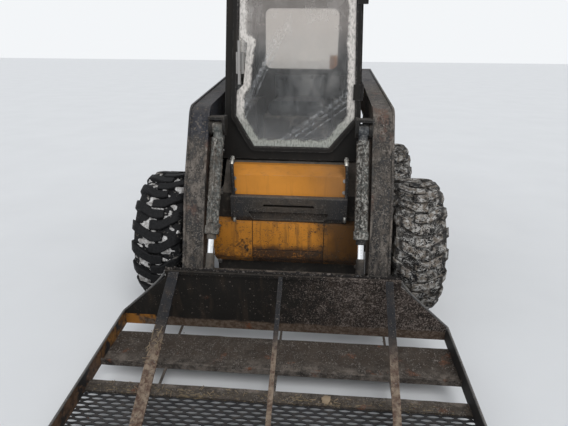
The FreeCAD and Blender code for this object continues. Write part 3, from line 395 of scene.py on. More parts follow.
def make_effects():
    """Node groups that several finishes use."""
    net, given, made = start_effect(
        "Caked dirt", [PLACE, ("Scale", VALUE, 7.0), ("Amount", VALUE, 0.5), ("Edge", VALUE, 0.12)], [MASK, HEIGHT])
    broad = net.noise(given["Place"], given["Scale"], 5.0, 0.6)
    fine = net.noise(given["Place"], net.times(given["Scale"], 6.0), 5.0, 0.65)
    start = net.minus(0.70, net.times(given["Amount"], 0.42))
    mask = net.ramp(net.plus(net.times(broad, 0.62), net.times(fine, 0.38)), start, net.plus(start, given["Edge"]))
    crumbs = net.noise(given["Place"], net.times(given["Scale"], 17.0), 3.0, 0.6)
    net.put(made["Mask"], mask)
    net.put(made["Height"], net.times(mask, net.plus(0.45, crumbs)))

    net, given, made = start_effect("Settled dust", [PLACE, ("Facing", VECTOR, None), ("Amount", VALUE, 0.5)], [MASK])
    top = net.ramp(net.parts(given["Facing"])["Z"], 0.15, 0.95)
    patchy = net.patches(given["Place"], 14.0, 6.0, 0.65, 0.30, 0.72)
    film = net.times(net.noise(given["Place"], 5.0, 4.0), 0.35)
    full = net.plus(net.times(top, net.plus(0.35, patchy)), film)
    net.put(made["Mask"], net.times(full, given["Amount"], clamp=True))

    # Edges of a piece: real wear, and painted highlight where a finish gives its worn edges a light bluish colour.
    net, given, made = start_effect("Edge wear and highlight", [PLACE, ("Width", VALUE, 0.006), ("Amount", VALUE, 0.5)], [MASK])
    eased = net.add("ShaderNodeBevel", {"Radius": given["Width"]}, samples=4).outputs["Normal"]
    plain = net.add("ShaderNodeNewGeometry").outputs["Normal"]
    alike = net.add("ShaderNodeVectorMath", {0: eased, 1: plain}, operation="DOT_PRODUCT").outputs["Value"]
    edge = net.ramp(net.minus(1.0, alike), 0.01, 0.12)
    chips = net.patches(given["Place"], 38.0, 5.0, 0.7, 0.44, 0.60)
    net.put(made["Mask"], net.times(edge, chips, given["Amount"], clamp=True))

    net, given, made = start_effect(
        "Rust", [PLACE, ("Scale", VALUE, 9.0), ("Amount", VALUE, 0.3), ("Tint", COLOUR, (0.26, 0.085, 0.03, 1))],
        [("Color", COLOUR), MASK, HEIGHT])
    field = net.noise(given["Place"], given["Scale"], 8.0, 0.68)
    start = net.minus(0.72, net.times(given["Amount"], 0.45))
    mask = net.ramp(field, start, net.plus(start, 0.07))
    speck = net.noise(given["Place"], net.times(given["Scale"], 11.0), 4.0, 0.6)
    dark = net.mix(0.62, given["Tint"], (0.03, 0.012, 0.008, 1))
    net.put(made["Color"], net.mix(net.ramp(speck, 0.35, 0.68), dark, given["Tint"]))
    net.put(made["Mask"], mask)
    net.put(made["Height"], net.times(mask, speck))

    net, given, made = start_effect("Flecks", [PLACE, ("Scale", VALUE, 170.0), ("Amount", VALUE, 0.3)], [MASK, TONE])
    spots = net.noise(given["Place"], given["Scale"], 3.0, 0.62)
    gather = net.noise(given["Place"], net.times(given["Scale"], 0.13), 4.0, 0.6)
    field = net.plus(net.times(spots, 0.68), net.times(gather, 0.32))
    start = net.minus(0.63, net.times(given["Amount"], 0.24))
    net.put(made["Mask"], net.ramp(field, start, net.plus(start, 0.03)))
    net.put(made["Tone"], net.ramp(net.noise(given["Place"], net.times(given["Scale"], 0.6), 2.0), 0.38, 0.62))

    net, given, made = start_effect("Runs", [PLACE, ("Scale", VALUE, 26.0), ("Amount", VALUE, 0.4)], [MASK])
    field = net.noise(net.drawn(given["Place"], 0.09), given["Scale"], 4.0, 0.6)
    net.put(made["Mask"], net.times(net.ramp(field, 0.50, 0.72), given["Amount"]))

    net, given, made = start_effect(
        "Seam line", [("Along", VALUE, 0.0), ("At", VALUE, 0.0), ("Width", VALUE, 0.003)], [MASK])
    away = net.math("ABSOLUTE", net.minus(given["Along"], given["At"]))
    net.put(made["Mask"], net.ramp(away, given["Width"], net.times(given["Width"], 0.45)))


def start_finish(name):
    """New material: its net, its Principled shader's inputs, and the place and facing that patterns read."""
    made = bpy.data.materials.new(name)
    made.use_nodes = True
    made.node_tree.nodes.clear()
    net = Net(made.node_tree)
    shader = net.add("ShaderNodeBsdfPrincipled")
    out = net.add("ShaderNodeOutputMaterial")
    net.tree.links.new(shader.outputs[0], out.inputs["Surface"])
    place = net.add("ShaderNodeTexCoord")
    FINISH[name] = made
    return net, shader.inputs, place.outputs["Object"], place.outputs["Normal"]


def scaled(tone, by):
    return tuple(min(1.0, c * by) for c in tone)


def weathered(name, paint, rough=0.5, dirt=0.4, dirt_scale=7.0, dust=0.4, wear=0.4, rust=0.0, rust_scale=9.0,
              runs=0.3, grain=0.12, depth=0.0025, metal=0.0, edge=0.006, bare=None, caked=None, extra=None,
              over=None, coat=0.0, gloss=0.28, flecks=0.0, fleck_scale=170.0, fleck_tones=None):
    """Painted or bare metal with wear along its edges, which on some finishes is partly painted highlight, rust, runs,
    caked dirt, flecks and dust.

    The tints of extra lie under the dirt, those of over lie on it."""
    tones = bpy.context.scene.loader_colours
    net, shader, place, facing = start_finish(name)
    tint = net.mix(net.patches(place, 2.6, 5.0, 0.55, 0.30, 0.72), scaled(paint, 0.74), scaled(paint, 1.12))
    height = net.times(net.noise(place, 260.0, 2.0), grain)
    roughness = net.blend(net.noise(place, 11.0, 5.0), rough * 0.75, min(1.0, rough * 1.3))
    # Worn edges take the bare colour: real worn metal, and on the mesh and the sloping bars partly painted highlight.
    worn_and_highlit = net.effect("Edge wear and highlight", place=place, width=edge, amount=wear)["Mask"]
    tint = net.mix(worn_and_highlit, tint, tuple(bare or tones.steel))
    if extra:
        tint, height = extra(net, place, tint, height)
    rusty = net.effect("Rust", place=place, scale=rust_scale, amount=rust, tint=(*tones.rust, 1))
    tint = net.mix(rusty["Mask"], tint, rusty["Color"])
    height = net.plus(height, net.times(rusty["Height"], 0.25))
    tint = net.mix(net.effect("Runs", place=place, amount=runs)["Mask"], tint, tuple(tones.mud))
    cake = net.effect("Caked dirt", place=place, scale=dirt_scale, amount=dirt)
    caked = tuple(caked or tones.dirt)
    crumb = net.mix(net.patches(place, 31.0, 5.0, 0.65, 0.33, 0.68), scaled(caked, 0.45), caked)
    tint = net.mix(cake["Mask"], tint, crumb)
    height = net.plus(height, cake["Height"])
    if flecks:
        spots = net.effect("Flecks", place=place, scale=fleck_scale, amount=flecks)
        tint = net.mix(spots["Mask"], tint, net.mix(spots["Tone"], *fleck_tones))
        height = net.plus(height, net.times(spots["Mask"], 0.4))
    if over:
        tint, height = over(net, place, tint, height)
    settled = net.effect("Settled dust", place=place, facing=facing, amount=dust)["Mask"]
    covered = net.most(cake["Mask"], settled, rusty["Mask"])
    net.put(shader["Base Color"], net.mix(settled, tint, scaled(tones.dirt, 1.25)))
    net.put(shader["Specular IOR Level"], gloss)
    net.put(shader["Roughness"], net.blend(covered, roughness, 0.92))
    net.put(shader["Metallic"], net.blend(covered, net.most(worn_and_highlit, metal), 0.0))
    if coat:
        net.put(shader["Coat Weight"], net.blend(covered, coat, 0.0))
    net.put(shader["Normal"], net.bump(0.8, depth, height))


def tyre_finish(name, hub, cover, sidewall, tops):
    """Rubber whose grooves are packed with pale dirt, up to cover, and speckled on the lugs' tops, 0 to 1."""
    tones = bpy.context.scene.loader_colours
    net, shader, place, facing = start_finish(name)
    split = net.parts(net.moved(place, location=(0.0, -hub, -AXLE_HEIGHT)))
    out = net.math("POWER", net.plus(net.math("POWER", split["Y"], 2.0), net.math("POWER", split["Z"], 2.0)), 0.5)
    lumps = net.noise(place, 24.0, 6.0, 0.68)
    fine = net.noise(place, 95.0, 4.0, 0.6)
    packed = net.times(
        net.ramp(out, 0.4135, 0.4040), net.ramp(out, 0.366, 0.380),
        net.ramp(lumps, 0.62 - 0.22 * cover, 0.68 - 0.16 * cover))
    gate = net.patches(place, 13.0, 5.0, 0.65, 0.60 - 0.28 * tops, 0.70 - 0.26 * tops)
    specks = net.effect("Flecks", place=place, scale=125.0, amount=0.15 + 0.75 * tops)["Mask"]
    speckle = net.times(gate, net.ramp(out, 0.4130, 0.4165, 0.15, 1.0), specks)
    splash = net.times(
        net.patches(place, 9.0, 7.0, 0.72, 0.66 - 0.30 * sidewall, 0.74 - 0.26 * sidewall),
        net.ramp(out, 0.385, 0.360))
    covered = net.most(packed, speckle, splash, clamp=True)
    white = net.mix(net.patches(place, 40.0, 5.0, 0.6, 0.40, 0.66), tuple(tones.dirt), tuple(tones.pale))
    dull = net.mix(net.ramp(fine, 0.35, 0.65), scaled(tones.rubber, 0.35), tuple(tones.rubber))
    net.put(shader["Base Color"], net.mix(covered, dull, white))
    net.put(shader["Specular IOR Level"], 0.15)
    net.put(shader["Roughness"], net.blend(covered, net.blend(fine, 0.5, 0.78), 0.95))
    height = net.plus(net.times(covered, net.plus(0.4, lumps)), net.times(fine, 0.25))
    net.put(shader["Normal"], net.bump(0.9, 0.006, height))


def packed_finish(name, low, high, dark, cover):
    """Dirt and ice packed between a tyre's lugs, with dark specks."""
    net, shader, place, facing = start_finish(name)
    broad = net.patches(place, 30.0, 5.0, 0.65, 0.36, 0.64)
    specks = net.effect("Flecks", place=place, scale=150.0, amount=cover)["Mask"]
    net.put(shader["Base Color"], net.mix(specks, net.mix(broad, low, high), dark))
    net.put(shader["Specular IOR Level"], 0.25)
    net.put(shader["Roughness"], net.blend(broad, 0.85, 0.95))
    height = net.plus(net.noise(place, 120.0, 5.0, 0.65), net.times(specks, -0.5))
    net.put(shader["Normal"], net.bump(0.9, 0.005, height))


def chrome_finish(name, dirt):
    """Ground rod of a cylinder under a film of dirt."""
    tones = bpy.context.scene.loader_colours
    net, shader, place, facing = start_finish(name)
    film = net.effect("Caked dirt", place=place, scale=16.0, amount=dirt, edge=0.2)
    rings = net.noise(net.drawn(place, 6.0), 40.0, 3.0)
    clean = net.mix(rings, (0.62, 0.63, 0.65), (0.80, 0.81, 0.83))
    net.put(shader["Base Color"], net.mix(film["Mask"], clean, tuple(tones.dirt)))
    net.put(shader["Metallic"], net.blend(film["Mask"], 1.0, 0.0))
    net.put(shader["Roughness"], net.blend(film["Mask"], net.blend(rings, 0.10, 0.24), 0.85))
    net.put(shader["Normal"], net.bump(0.3, 0.0006, film["Height"]))


def glass_finish(name, tint):
    """Dusty window glass."""
    net, shader, place, facing = start_finish(name)
    film = net.times(net.patches(net.drawn(place, 0.5), 5.0, 6.0, 0.62, 0.38, 0.72), 0.5)
    net.put(shader["Base Color"], net.mix(film, tint, scaled(tint, 0.9)))
    shader["Transmission Weight"].default_value = 1.0
    shader["IOR"].default_value = 1.45
    net.put(shader["Roughness"], net.times(film, 0.30))
    net.put(shader["Normal"], net.bump(0.03, 0.0005, net.noise(place, 320.0, 2.0)))


def lamp_finish(name, tint, along, ribs, dirt, rough, strength, depth):
    """Ribbed lens of a lamp, dirty."""
    tones = bpy.context.scene.loader_colours
    net, shader, place, facing = start_finish(name)
    wave = net.math("SINE", net.times(net.parts(place)[along], ribs))
    grime = net.effect("Caked dirt", place=place, scale=14.0, amount=dirt)["Mask"]
    net.put(shader["Base Color"], net.mix(grime, tint, tuple(tones.dirt)))
    net.put(shader["Roughness"], net.blend(grime, rough, 0.9))
    net.put(shader["Normal"], net.bump(strength, depth, wave))
    return net, shader, grime


# Tints of one finish each, in the places where the photo shows them


def panel_side(net, place, tint, height):
    """Brown side of the upper yellow panel."""
    side = net.times(net.ramp(net.wavy(net.parts(place)["X"], place, 6.0, 0.12), 0.12, 0.36), 0.55)
    return net.mix(side, tint, (0.165, 0.095, 0.052)), height


def cover_seams(net, place, tint, height):
    """Seams, rusty specks and mud of the lower yellow plate, and painted shade towards its ends."""
    split = net.parts(place)
    inner = net.times(net.math("GREATER_THAN", split["X"], -0.213), net.math("LESS_THAN", split["X"], 0.213))
    lines = net.most(*(net.effect("Seam line", along=split["X"], at=at)["Mask"] for at in (-0.215, 0.215)))
    level = net.times(inner, net.effect("Seam line", along=split["Z"], at=0.437)["Mask"])
    seams = net.most(lines, level)
    mid = net.times(net.ramp(split["Z"], 0.50, 0.36), net.patches(place, 28.0, 6.0, 0.7, 0.38, 0.60))
    tint = net.mix(net.times(mid, 0.85), tint, tuple(bpy.context.scene.loader_colours.mud))
    rusty = net.times(inner, net.ramp(net.wavy(split["Z"], place, 18.0, 0.05), 0.505, 0.455))
    tint = net.mix(net.times(rusty, 0.55), tint, (0.200, 0.085, 0.033))
    specks = net.effect("Flecks", place=place, scale=100.0, amount=0.85)["Mask"]
    tint = net.mix(net.times(rusty, specks, 0.85), tint, (0.042, 0.024, 0.015))
    # Painted shade: the plate darkens towards its ends.
    shade = net.times(net.ramp(net.wavy(split["X"], place, 9.0, 0.16), 0.20, 0.36), 0.82)
    tint = net.mix(shade, tint, (0.040, 0.026, 0.016))
    return net.mix(seams, tint, (0.008, 0.006, 0.005)), net.plus(net.minus(height, seams), net.times(mid, 0.8))


def step_recess(net, place, tint, height):
    """Brown middle and dark ends of the step."""
    away = net.math("ABSOLUTE", net.parts(place)["X"])
    middle = net.times(net.ramp(away, 0.20, 0.13), net.patches(place, 20.0, 6.0, 0.7, 0.30, 0.60))
    tint = net.mix(net.times(middle, 0.8), tint, (0.060, 0.046, 0.034))
    ends = net.times(net.ramp(away, 0.22, 0.30), 0.7)
    return net.mix(ends, tint, (0.014, 0.017, 0.022)), net.plus(height, middle)


def arm_streaks(net, place, tint, height):
    """Drawn-out dirt and red scuffs of the arms."""
    drawn = net.drawn(place, 0.28)
    smear = net.patches(drawn, 24.0, 8.0, 0.75, 0.44, 0.58)
    broad = net.patches(drawn, 6.0, 5.0, 0.6, 0.40, 0.56)
    tint = net.mix(net.times(smear, net.plus(0.30, net.times(broad, 0.70))), tint, (0.165, 0.142, 0.122))
    red = net.times(net.patches(drawn, 7.0, 5.0, 0.62, 0.56, 0.64), net.ramp(net.parts(place)["Z"], 0.55, 0.80))
    return net.mix(net.times(red, 0.8), tint, (0.135, 0.070, 0.050)), net.plus(height, smear)


def arm_top(net, place, tint, height):
    """Dark blue upper part of the right arm, and grey-blue slopes of both."""
    split = net.parts(place)
    rise = net.wavy(split["Z"], net.drawn(place, 0.28), 7.0, 0.16)
    top = net.times(net.ramp(rise, 1.16, 1.22), net.ramp(split["X"], -0.30, -0.45))
    flecks = net.effect("Flecks", place=place, scale=70.0, amount=0.35)["Mask"]
    tint = net.mix(net.times(top, net.minus(1.0, net.times(flecks, 0.6)), 0.9), tint, (0.017, 0.022, 0.034))
    return net.mix(net.times(net.ramp(rise, 1.42, 1.47), 0.7), tint, (0.052, 0.060, 0.078)), height


def barrel_tints(net, place, tint, height):
    """Calmer dirt on the machine's right barrels, and the blue top of its left tilt barrel."""
    split = net.parts(place)
    drawn = net.drawn(place, 0.3)
    calm = net.times(net.ramp(split["X"], 0.1, -0.1), net.patches(drawn, 16.0, 6.0, 0.7, 0.36, 0.52))
    film = net.mix(net.ramp(net.noise(drawn, 12.0, 5.0), 0.44, 0.56), (0.080, 0.092, 0.090), (0.120, 0.100, 0.082))
    tint = net.mix(net.times(calm, 0.62), tint, film)
    cool = net.times(net.ramp(split["X"], -0.1, 0.1), net.ramp(net.wavy(split["Z"], drawn, 9.0, 0.2), 1.17, 1.25))
    return net.mix(net.times(cool, 0.75), tint, (0.030, 0.037, 0.048)), height


def wall_grit(net, place, tint, height):
    """Specks, brown foot and yellow strip of the tray's back wall."""
    split = net.parts(place)
    side = net.ramp(split["X"], -0.25, 0.45)
    lumps = net.noise(place, 22.0, 7.0, 0.72)
    field = net.times(net.ramp(net.plus(lumps, net.times(side, 0.20)), 0.56, 0.74), 0.75)
    tint = net.mix(field, tint, (0.042, 0.032, 0.027))
    specks = net.effect("Flecks", place=place, scale=150.0, amount=net.blend(side, 0.02, 0.62))
    tint = net.mix(specks["Mask"], tint, net.mix(specks["Tone"], (0.05, 0.038, 0.032), (0.21, 0.175, 0.155)))
    foot = net.ramp(net.wavy(split["Z"], place, 14.0, 0.03), 0.222, 0.205)
    soil = net.mix(net.patches(place, 45.0, 6.0, 0.7, 0.40, 0.60), (0.070, 0.045, 0.030), (0.150, 0.112, 0.085))
    tint = net.mix(net.times(foot, 0.80), tint, soil)
    edge = net.wavy(split["X"], place, 16.0, 0.06)
    strip = net.times(net.ramp(edge, -0.655, -0.675), net.math("LESS_THAN", split["Z"], 0.212))
    kept = net.times(strip, net.patches(place, 10.0, 6.0, 0.65, 0.34, 0.50))
    tint = net.mix(kept, tint, (0.30, 0.125, 0.022))
    return tint, net.plus(height, net.plus(field, net.times(specks["Mask"], 0.7)))


def rail_tints(net, place, tint, height):
    """Old yellow paint and rust of the right rail."""
    split = net.parts(place)
    old = net.times(net.math("LESS_THAN", split["X"], 0.0), net.patches(place, 9.0, 6.0, 0.68, 0.44, 0.50))
    near = net.ramp(split["Y"], -1.30, -1.12)
    paint = net.mix(near, (0.13, 0.075, 0.045), (0.30, 0.14, 0.035))
    paint = net.mix(net.patches(place, 30.0, 5.0, 0.7, 0.40, 0.60), (0.060, 0.032, 0.018), paint)
    return net.mix(net.times(old, 0.9), tint, paint), net.plus(height, old)


def slat_tints(net, place, tint, height):
    """Dark brown back, partly painted shade on the lower slat, rough front and straw-strewn edge bar of the tray's
    floor.
    """
    along = net.parts(place)["Y"]
    near = net.ramp(along, -1.13, -1.20)
    rough = net.times(near, net.patches(place, 19.0, 7.0, 0.72, 0.36, 0.62))
    # The back of the floor is darkened to dark brown: partly the slat's own brown and partly painted shade where the
    # lower slat lies in shadow.
    tint = net.mix(net.times(net.minus(1.0, near), 0.65), tint, (0.040, 0.027, 0.019))
    tint = net.mix(rough, tint, (0.155, 0.130, 0.110))
    edge = net.ramp(along, -1.345, -1.36)
    straw = net.effect("Flecks", place=net.moved(place, scale=(0.35, 1.0, 1.0)), scale=140.0, amount=0.35)["Mask"]
    tint = net.mix(net.times(edge, 0.75), tint, (0.030, 0.024, 0.018))
    return net.mix(net.times(edge, straw, 0.8), tint, (0.24, 0.18, 0.10)), net.plus(height, rough)


def bar_ends(net, place, tint, height):
    """Muddy lower ends of the sloping bars."""
    low = net.ramp(net.wavy(net.parts(place)["Y"], place, 12.0, 0.10), -1.16, -1.34)
    soil = net.mix(net.patches(place, 42.0, 7.0, 0.72, 0.38, 0.62), (0.060, 0.030, 0.021), (0.22, 0.170, 0.125))
    return net.mix(low, tint, soil), net.plus(height, net.times(low, net.noise(place, 60.0, 4.0)))


def make_weathered():
    """The painted, steel and soil finishes, one row each."""
    tones = bpy.context.scene.loader_colours
    yellow, black, mud = tuple(tones.yellow), tuple(tones.black), tuple(tones.mud)
    soil = dict(wear=0.0, runs=0.0, grain=1.0, depth=0.003, dirt_scale=40.0)
    rows = {
        "yellow_panel": dict(
            paint=yellow, rough=0.42, dirt=0.10, dust=0.08, wear=0.35, runs=0.22, dirt_scale=4.0, depth=0.0008,
            coat=0.1, gloss=0.2, extra=panel_side),
        "yellow_cover": dict(
            paint=yellow, dirt=0.42, dust=0.10, runs=0.6, dirt_scale=9.0, depth=0.0018, caked=mud, flecks=0.2,
            fleck_tones=((0.03, 0.02, 0.014), (0.10, 0.075, 0.055)), extra=cover_seams),
        "yellow_body": dict(
            paint=yellow, rough=0.45, dirt=0.22, dust=0.45, wear=0.5, runs=0.5, dirt_scale=5.0, depth=0.0015,
            coat=0.2),
        "black_cab": dict(
            paint=black, rough=0.42, dirt=0.10, dust=0.12, wear=0.25, runs=0.12, depth=0.0012, gloss=0.14,
            caked=(0.07, 0.062, 0.054)),
        "black_frame": dict(
            paint=black, rough=0.6, dirt=0.42, dust=0.45, wear=0.3, rust=0.12, caked=(0.10, 0.085, 0.07)),
        "dirty_step": dict(
            paint=(0.020, 0.019, 0.018), rough=0.6, dirt=0.42, dust=0.30, wear=0.5, dirt_scale=11.0, rust=0.1,
            caked=(0.075, 0.062, 0.05), flecks=0.35, fleck_tones=((0.02, 0.017, 0.015), (0.16, 0.14, 0.125)),
            extra=step_recess),
        "arm_paint": dict(
            paint=scaled(tones.arm, 0.40), rough=0.55, dirt=0.42, dust=0.20, wear=0.5, rust=0.15, rust_scale=6.0,
            dirt_scale=9.0, depth=0.004, edge=0.009, bare=(0.14, 0.13, 0.12), caked=(0.135, 0.115, 0.098),
            flecks=0.42, fleck_tones=((0.014, 0.012, 0.011), (0.23, 0.205, 0.18)), extra=arm_streaks, over=arm_top),
        # Tilt brackets nearly black: painted shade, so that they vanish in the shadow beside the tilt barrels' tops;
        # the dirt and flecks on them are real.
        "bracket_painted_shade": dict(
            paint=(0.010, 0.010, 0.010), rough=0.6, dirt=0.30, dust=0.15, wear=0.3, gloss=0.2,
            caked=(0.06, 0.05, 0.043), flecks=0.25, fleck_tones=((0.01, 0.01, 0.01), (0.12, 0.11, 0.10))),
        "coupler_paint": dict(
            paint=(0.018, 0.018, 0.018), rough=0.6, dirt=0.50, dust=0.35, wear=0.5, rust=0.2, depth=0.004,
            caked=(0.08, 0.068, 0.058), flecks=0.25, fleck_tones=((0.02, 0.017, 0.015), (0.15, 0.13, 0.115))),
        "barrel_paint": dict(
            paint=(0.070, 0.078, 0.074), rough=0.45, dirt=0.42, dust=0.3, wear=0.3, dirt_scale=13.0, depth=0.007,
            caked=(0.13, 0.125, 0.11), flecks=0.75, fleck_scale=95.0,
            fleck_tones=((0.012, 0.011, 0.010), (0.36, 0.35, 0.32)), over=barrel_tints),
        "bare_steel": dict(
            paint=tuple(tones.steel), rough=0.4, dirt=0.25, dust=0.3, wear=0.2, metal=0.9, rust=0.25,
            rust_scale=30.0, depth=0.001),
        # The light bluish worn edges of the mesh are partly wear and partly painted highlight on the strands' tops.
        "mesh_steel": dict(
            paint=(0.016, 0.018, 0.022), dirt=0.25, dust=0.10, wear=0.7, rust=0.15, rust_scale=22.0, depth=0.001,
            edge=0.003, caked=(0.06, 0.05, 0.043), bare=(0.115, 0.130, 0.150)),
        "axle_iron": dict(
            paint=(0.06, 0.058, 0.055), rough=0.75, dirt=0.55, dust=0.6, wear=0.2, rust=0.25, grain=0.5,
            depth=0.004),
        "rim_paint": dict(
            paint=(0.52, 0.50, 0.45), rough=0.45, dirt=0.45, dust=0.3, wear=0.6, rust=0.18, rust_scale=14.0,
            depth=0.003),
        "fitting_steel": dict(
            paint=(0.55, 0.54, 0.50), rough=0.32, dirt=0.2, dust=0.2, wear=0.2, metal=1.0, rust=0.1,
            rust_scale=40.0, depth=0.0006),
        "hose_rubber": dict(
            paint=(0.014, 0.014, 0.015), rough=0.6, dirt=0.25, dust=0.15, flecks=0.4, fleck_scale=200.0,
            fleck_tones=((0.01, 0.01, 0.01), (0.16, 0.15, 0.14)), gloss=0.2, wear=0.0, dirt_scale=18.0,
            depth=0.0008, grain=0.5),
        "console_plastic": dict(
            paint=(0.035, 0.035, 0.038), rough=0.6, dirt=0.0, dust=0.3, wear=0.0, runs=0.0, grain=0.8,
            depth=0.0006),
        "cab_floor": dict(
            paint=(0.03, 0.03, 0.03), rough=0.8, dirt=0.5, dust=0.5, wear=0.1, grain=0.8, depth=0.003),
        "clod": dict(soil, paint=(0.13, 0.112, 0.096), rough=0.95, dust=0.2),
        "straw": dict(soil, paint=(0.27, 0.205, 0.135), rough=0.9, dirt=0.15, dust=0.1, depth=0.002),
        "dark_clod": dict(soil, paint=(0.075, 0.062, 0.054), rough=0.9, dirt=0.3, dust=0.2),
        # Lighter steel of the tray's rims: painted highlight along the tray's edges, under real dirt and rust.
        "rim_steel_highlight": dict(
            paint=(0.10, 0.10, 0.10), dirt=0.25, dust=0.2, wear=0.3, rust=0.2, depth=0.002,
            caked=(0.07, 0.058, 0.05), flecks=0.3, fleck_tones=((0.02, 0.017, 0.015), (0.25, 0.23, 0.21))),
        "crumbs": dict(
            soil, paint=(0.018, 0.016, 0.015), rough=0.9, dirt=0.25, dust=0.0, depth=0.004, dirt_scale=30.0,
            gloss=0.15, caked=(0.06, 0.05, 0.042), flecks=0.40, fleck_scale=110.0,
            fleck_tones=((0.02, 0.016, 0.014), (0.17, 0.15, 0.135))),
        "tray_wall": dict(
            paint=tuple(tones.tray), rough=0.7, dirt=0.10, dust=0.10, wear=0.15, rust=0.12, dirt_scale=10.0,
            depth=0.004, gloss=0.12, extra=wall_grit),
        "tray_rail": dict(
            paint=(0.016, 0.016, 0.017), rough=0.6, dirt=0.25, dust=0.30, wear=0.8, rust=0.20, dirt_scale=9.0,
            depth=0.003, edge=0.010, gloss=0.2, bare=(0.14, 0.15, 0.155), caked=(0.055, 0.045, 0.038),
            extra=rail_tints),
        "tray_floor": dict(
            paint=(0.018, 0.015, 0.013), rough=0.8, dirt=0.50, dust=0.12, wear=0.3, rust=0.30, dirt_scale=12.0,
            depth=0.005, caked=(0.085, 0.068, 0.055), flecks=0.35,
            fleck_tones=((0.015, 0.012, 0.010), (0.22, 0.195, 0.175)), extra=slat_tints),
        # The light bluish worn edges of the bars are partly wear and partly painted highlight.
        "tray_bars": dict(
            paint=(0.008, 0.010, 0.014), rough=0.45, dirt=0.10, dust=0.06, wear=0.5, rust=0.06, depth=0.0015,
            gloss=0.12, bare=(0.085, 0.095, 0.11), flecks=0.22,
            fleck_tones=((0.02, 0.016, 0.014), (0.15, 0.13, 0.115)), extra=bar_ends),
    }
    for name, row in rows.items():
        weathered(name, **row)


def make_door_finishes():
    """Frosted band and dusty film of the door's glass."""
    net, shader, place, facing = start_finish("frosted_band")
    wavy = net.noise(place, 17.0, 6.0, 0.7)
    inwards = net.add("ShaderNodeAttribute", attribute_name="inwards").outputs["Fac"]
    base = net.ramp(net.parts(place)["Z"], 1.10, 1.30)
    drag = net.patches(net.drawn(place, 0.35), 120.0, 6.0, 0.7, 0.34, 0.62)
    dull = net.mix(base, (0.22, 0.23, 0.205), (0.48, 0.455, 0.42))
    pale = net.mix(base, (0.42, 0.43, 0.39), (0.76, 0.715, 0.67))
    net.put(shader["Base Color"], net.mix(drag, dull, pale))
    net.put(shader["Roughness"], net.blend(wavy, 0.5, 0.8))
    edge = net.plus(inwards, net.times(net.minus(wavy, 0.5), 1.1))
    net.put(shader["Alpha"], net.times(net.ramp(edge, 0.95, 0.60), net.ramp(drag, 0.0, 0.6, 0.78, 0.97)))

    net, shader, place, facing = start_finish("pane_film")
    split = net.parts(place)
    smears = net.patches(net.drawn(place, 0.55), 4.2, 7.0, 0.68, 0.42, 0.74)
    low = net.ramp(split["Z"], 1.30, 1.0, 0.0, 0.22)
    upper = net.ramp(split["Z"], 1.50, 1.72, 0.0, 0.30)
    streak = 0.0
    for across, rise, lines in (
            (0.90, -0.437, ((-0.811, 0.022), (-0.780, 0.008))),
            (0.584, -0.812, ((-0.876, 0.010), (-0.905, 0.018), (-0.845, 0.006)))):
        for at, wide in lines:
            line = net.plus(net.times(split["X"], across), net.times(split["Z"], rise))
            away = net.math("ABSOLUTE", net.minus(line, at))
            streak = net.most(streak, net.ramp(away, wide, wide * 0.3))
    broken = net.patches(place, 48.0, 6.0, 0.75, 0.40, 0.62)
    streak = net.times(net.times(streak, broken), net.times(net.ramp(split["Z"], 1.75, 1.62), 0.45))
    tint = net.mix(net.ramp(split["Z"], 1.45, 1.75), (0.40, 0.41, 0.42), (0.56, 0.50, 0.46))
    net.put(shader["Base Color"], net.mix(smears, tint, (0.60, 0.58, 0.55)))
    net.put(shader["Roughness"], net.blend(smears, 0.35, 0.75))
    net.put(shader["Alpha"], net.plus(net.plus(net.times(smears, 0.30), streak), net.plus(low, upper), clamp=True))


def make_finishes():
    """Every material of the machine."""
    make_weathered()
    for end, hub in WHEELS.items():
        tyre_finish("tyre_" + end + "_left", hub, 0.85, 0.70, 0.85)
        tyre_finish("tyre_" + end + "_right", hub, 0.20, 0.40, 0.10)
    packed_finish("packed_left", (0.085, 0.078, 0.070), (0.44, 0.43, 0.41), (0.018, 0.017, 0.016), 0.60)
    packed_finish("packed_right", (0.30, 0.285, 0.27), (0.70, 0.69, 0.68), (0.04, 0.036, 0.034), 0.15)
    chrome_finish("rod_chrome", 0.22)
    chrome_finish("tilt_chrome", 0.30)
    glass_finish("cab_glass", (0.80, 0.79, 0.77))
    glass_finish("rear_glass", (0.62, 0.58, 0.54))
    make_door_finishes()

    net, shader, place, facing = start_finish("seat_vinyl")
    vinyl = tuple(bpy.context.scene.loader_colours.vinyl)
    leather = net.add("ShaderNodeTexVoronoi", {"Vector": place, "Scale": 420.0}, feature="F1").outputs["Distance"]
    fold_and_painted_shade = net.noise(place, 9.0, 5.0)
    # The vinyl's tone follows the folds: painted light on their crests and painted shade in their hollows.
    net.put(shader["Base Color"], net.mix(fold_and_painted_shade, scaled(vinyl, 0.7), scaled(vinyl, 1.5)))
    net.put(shader["Roughness"], net.blend(net.noise(place, 30.0), 0.42, 0.62))
    net.put(shader["Normal"], net.bump(0.35, 0.0006, net.plus(leather, fold_and_painted_shade)))

    lamp_finish("lamp_red", (0.42, 0.018, 0.012), "Z", 900.0, 0.3, 0.16, 0.5, 0.0012)
    net, shader, grime = lamp_finish("lamp_lens", (0.62, 0.64, 0.64), "X", 1100.0, 0.22, 0.10, 0.6, 0.0015)
    net.put(shader["Metallic"], net.blend(grime, 0.55, 0.0))


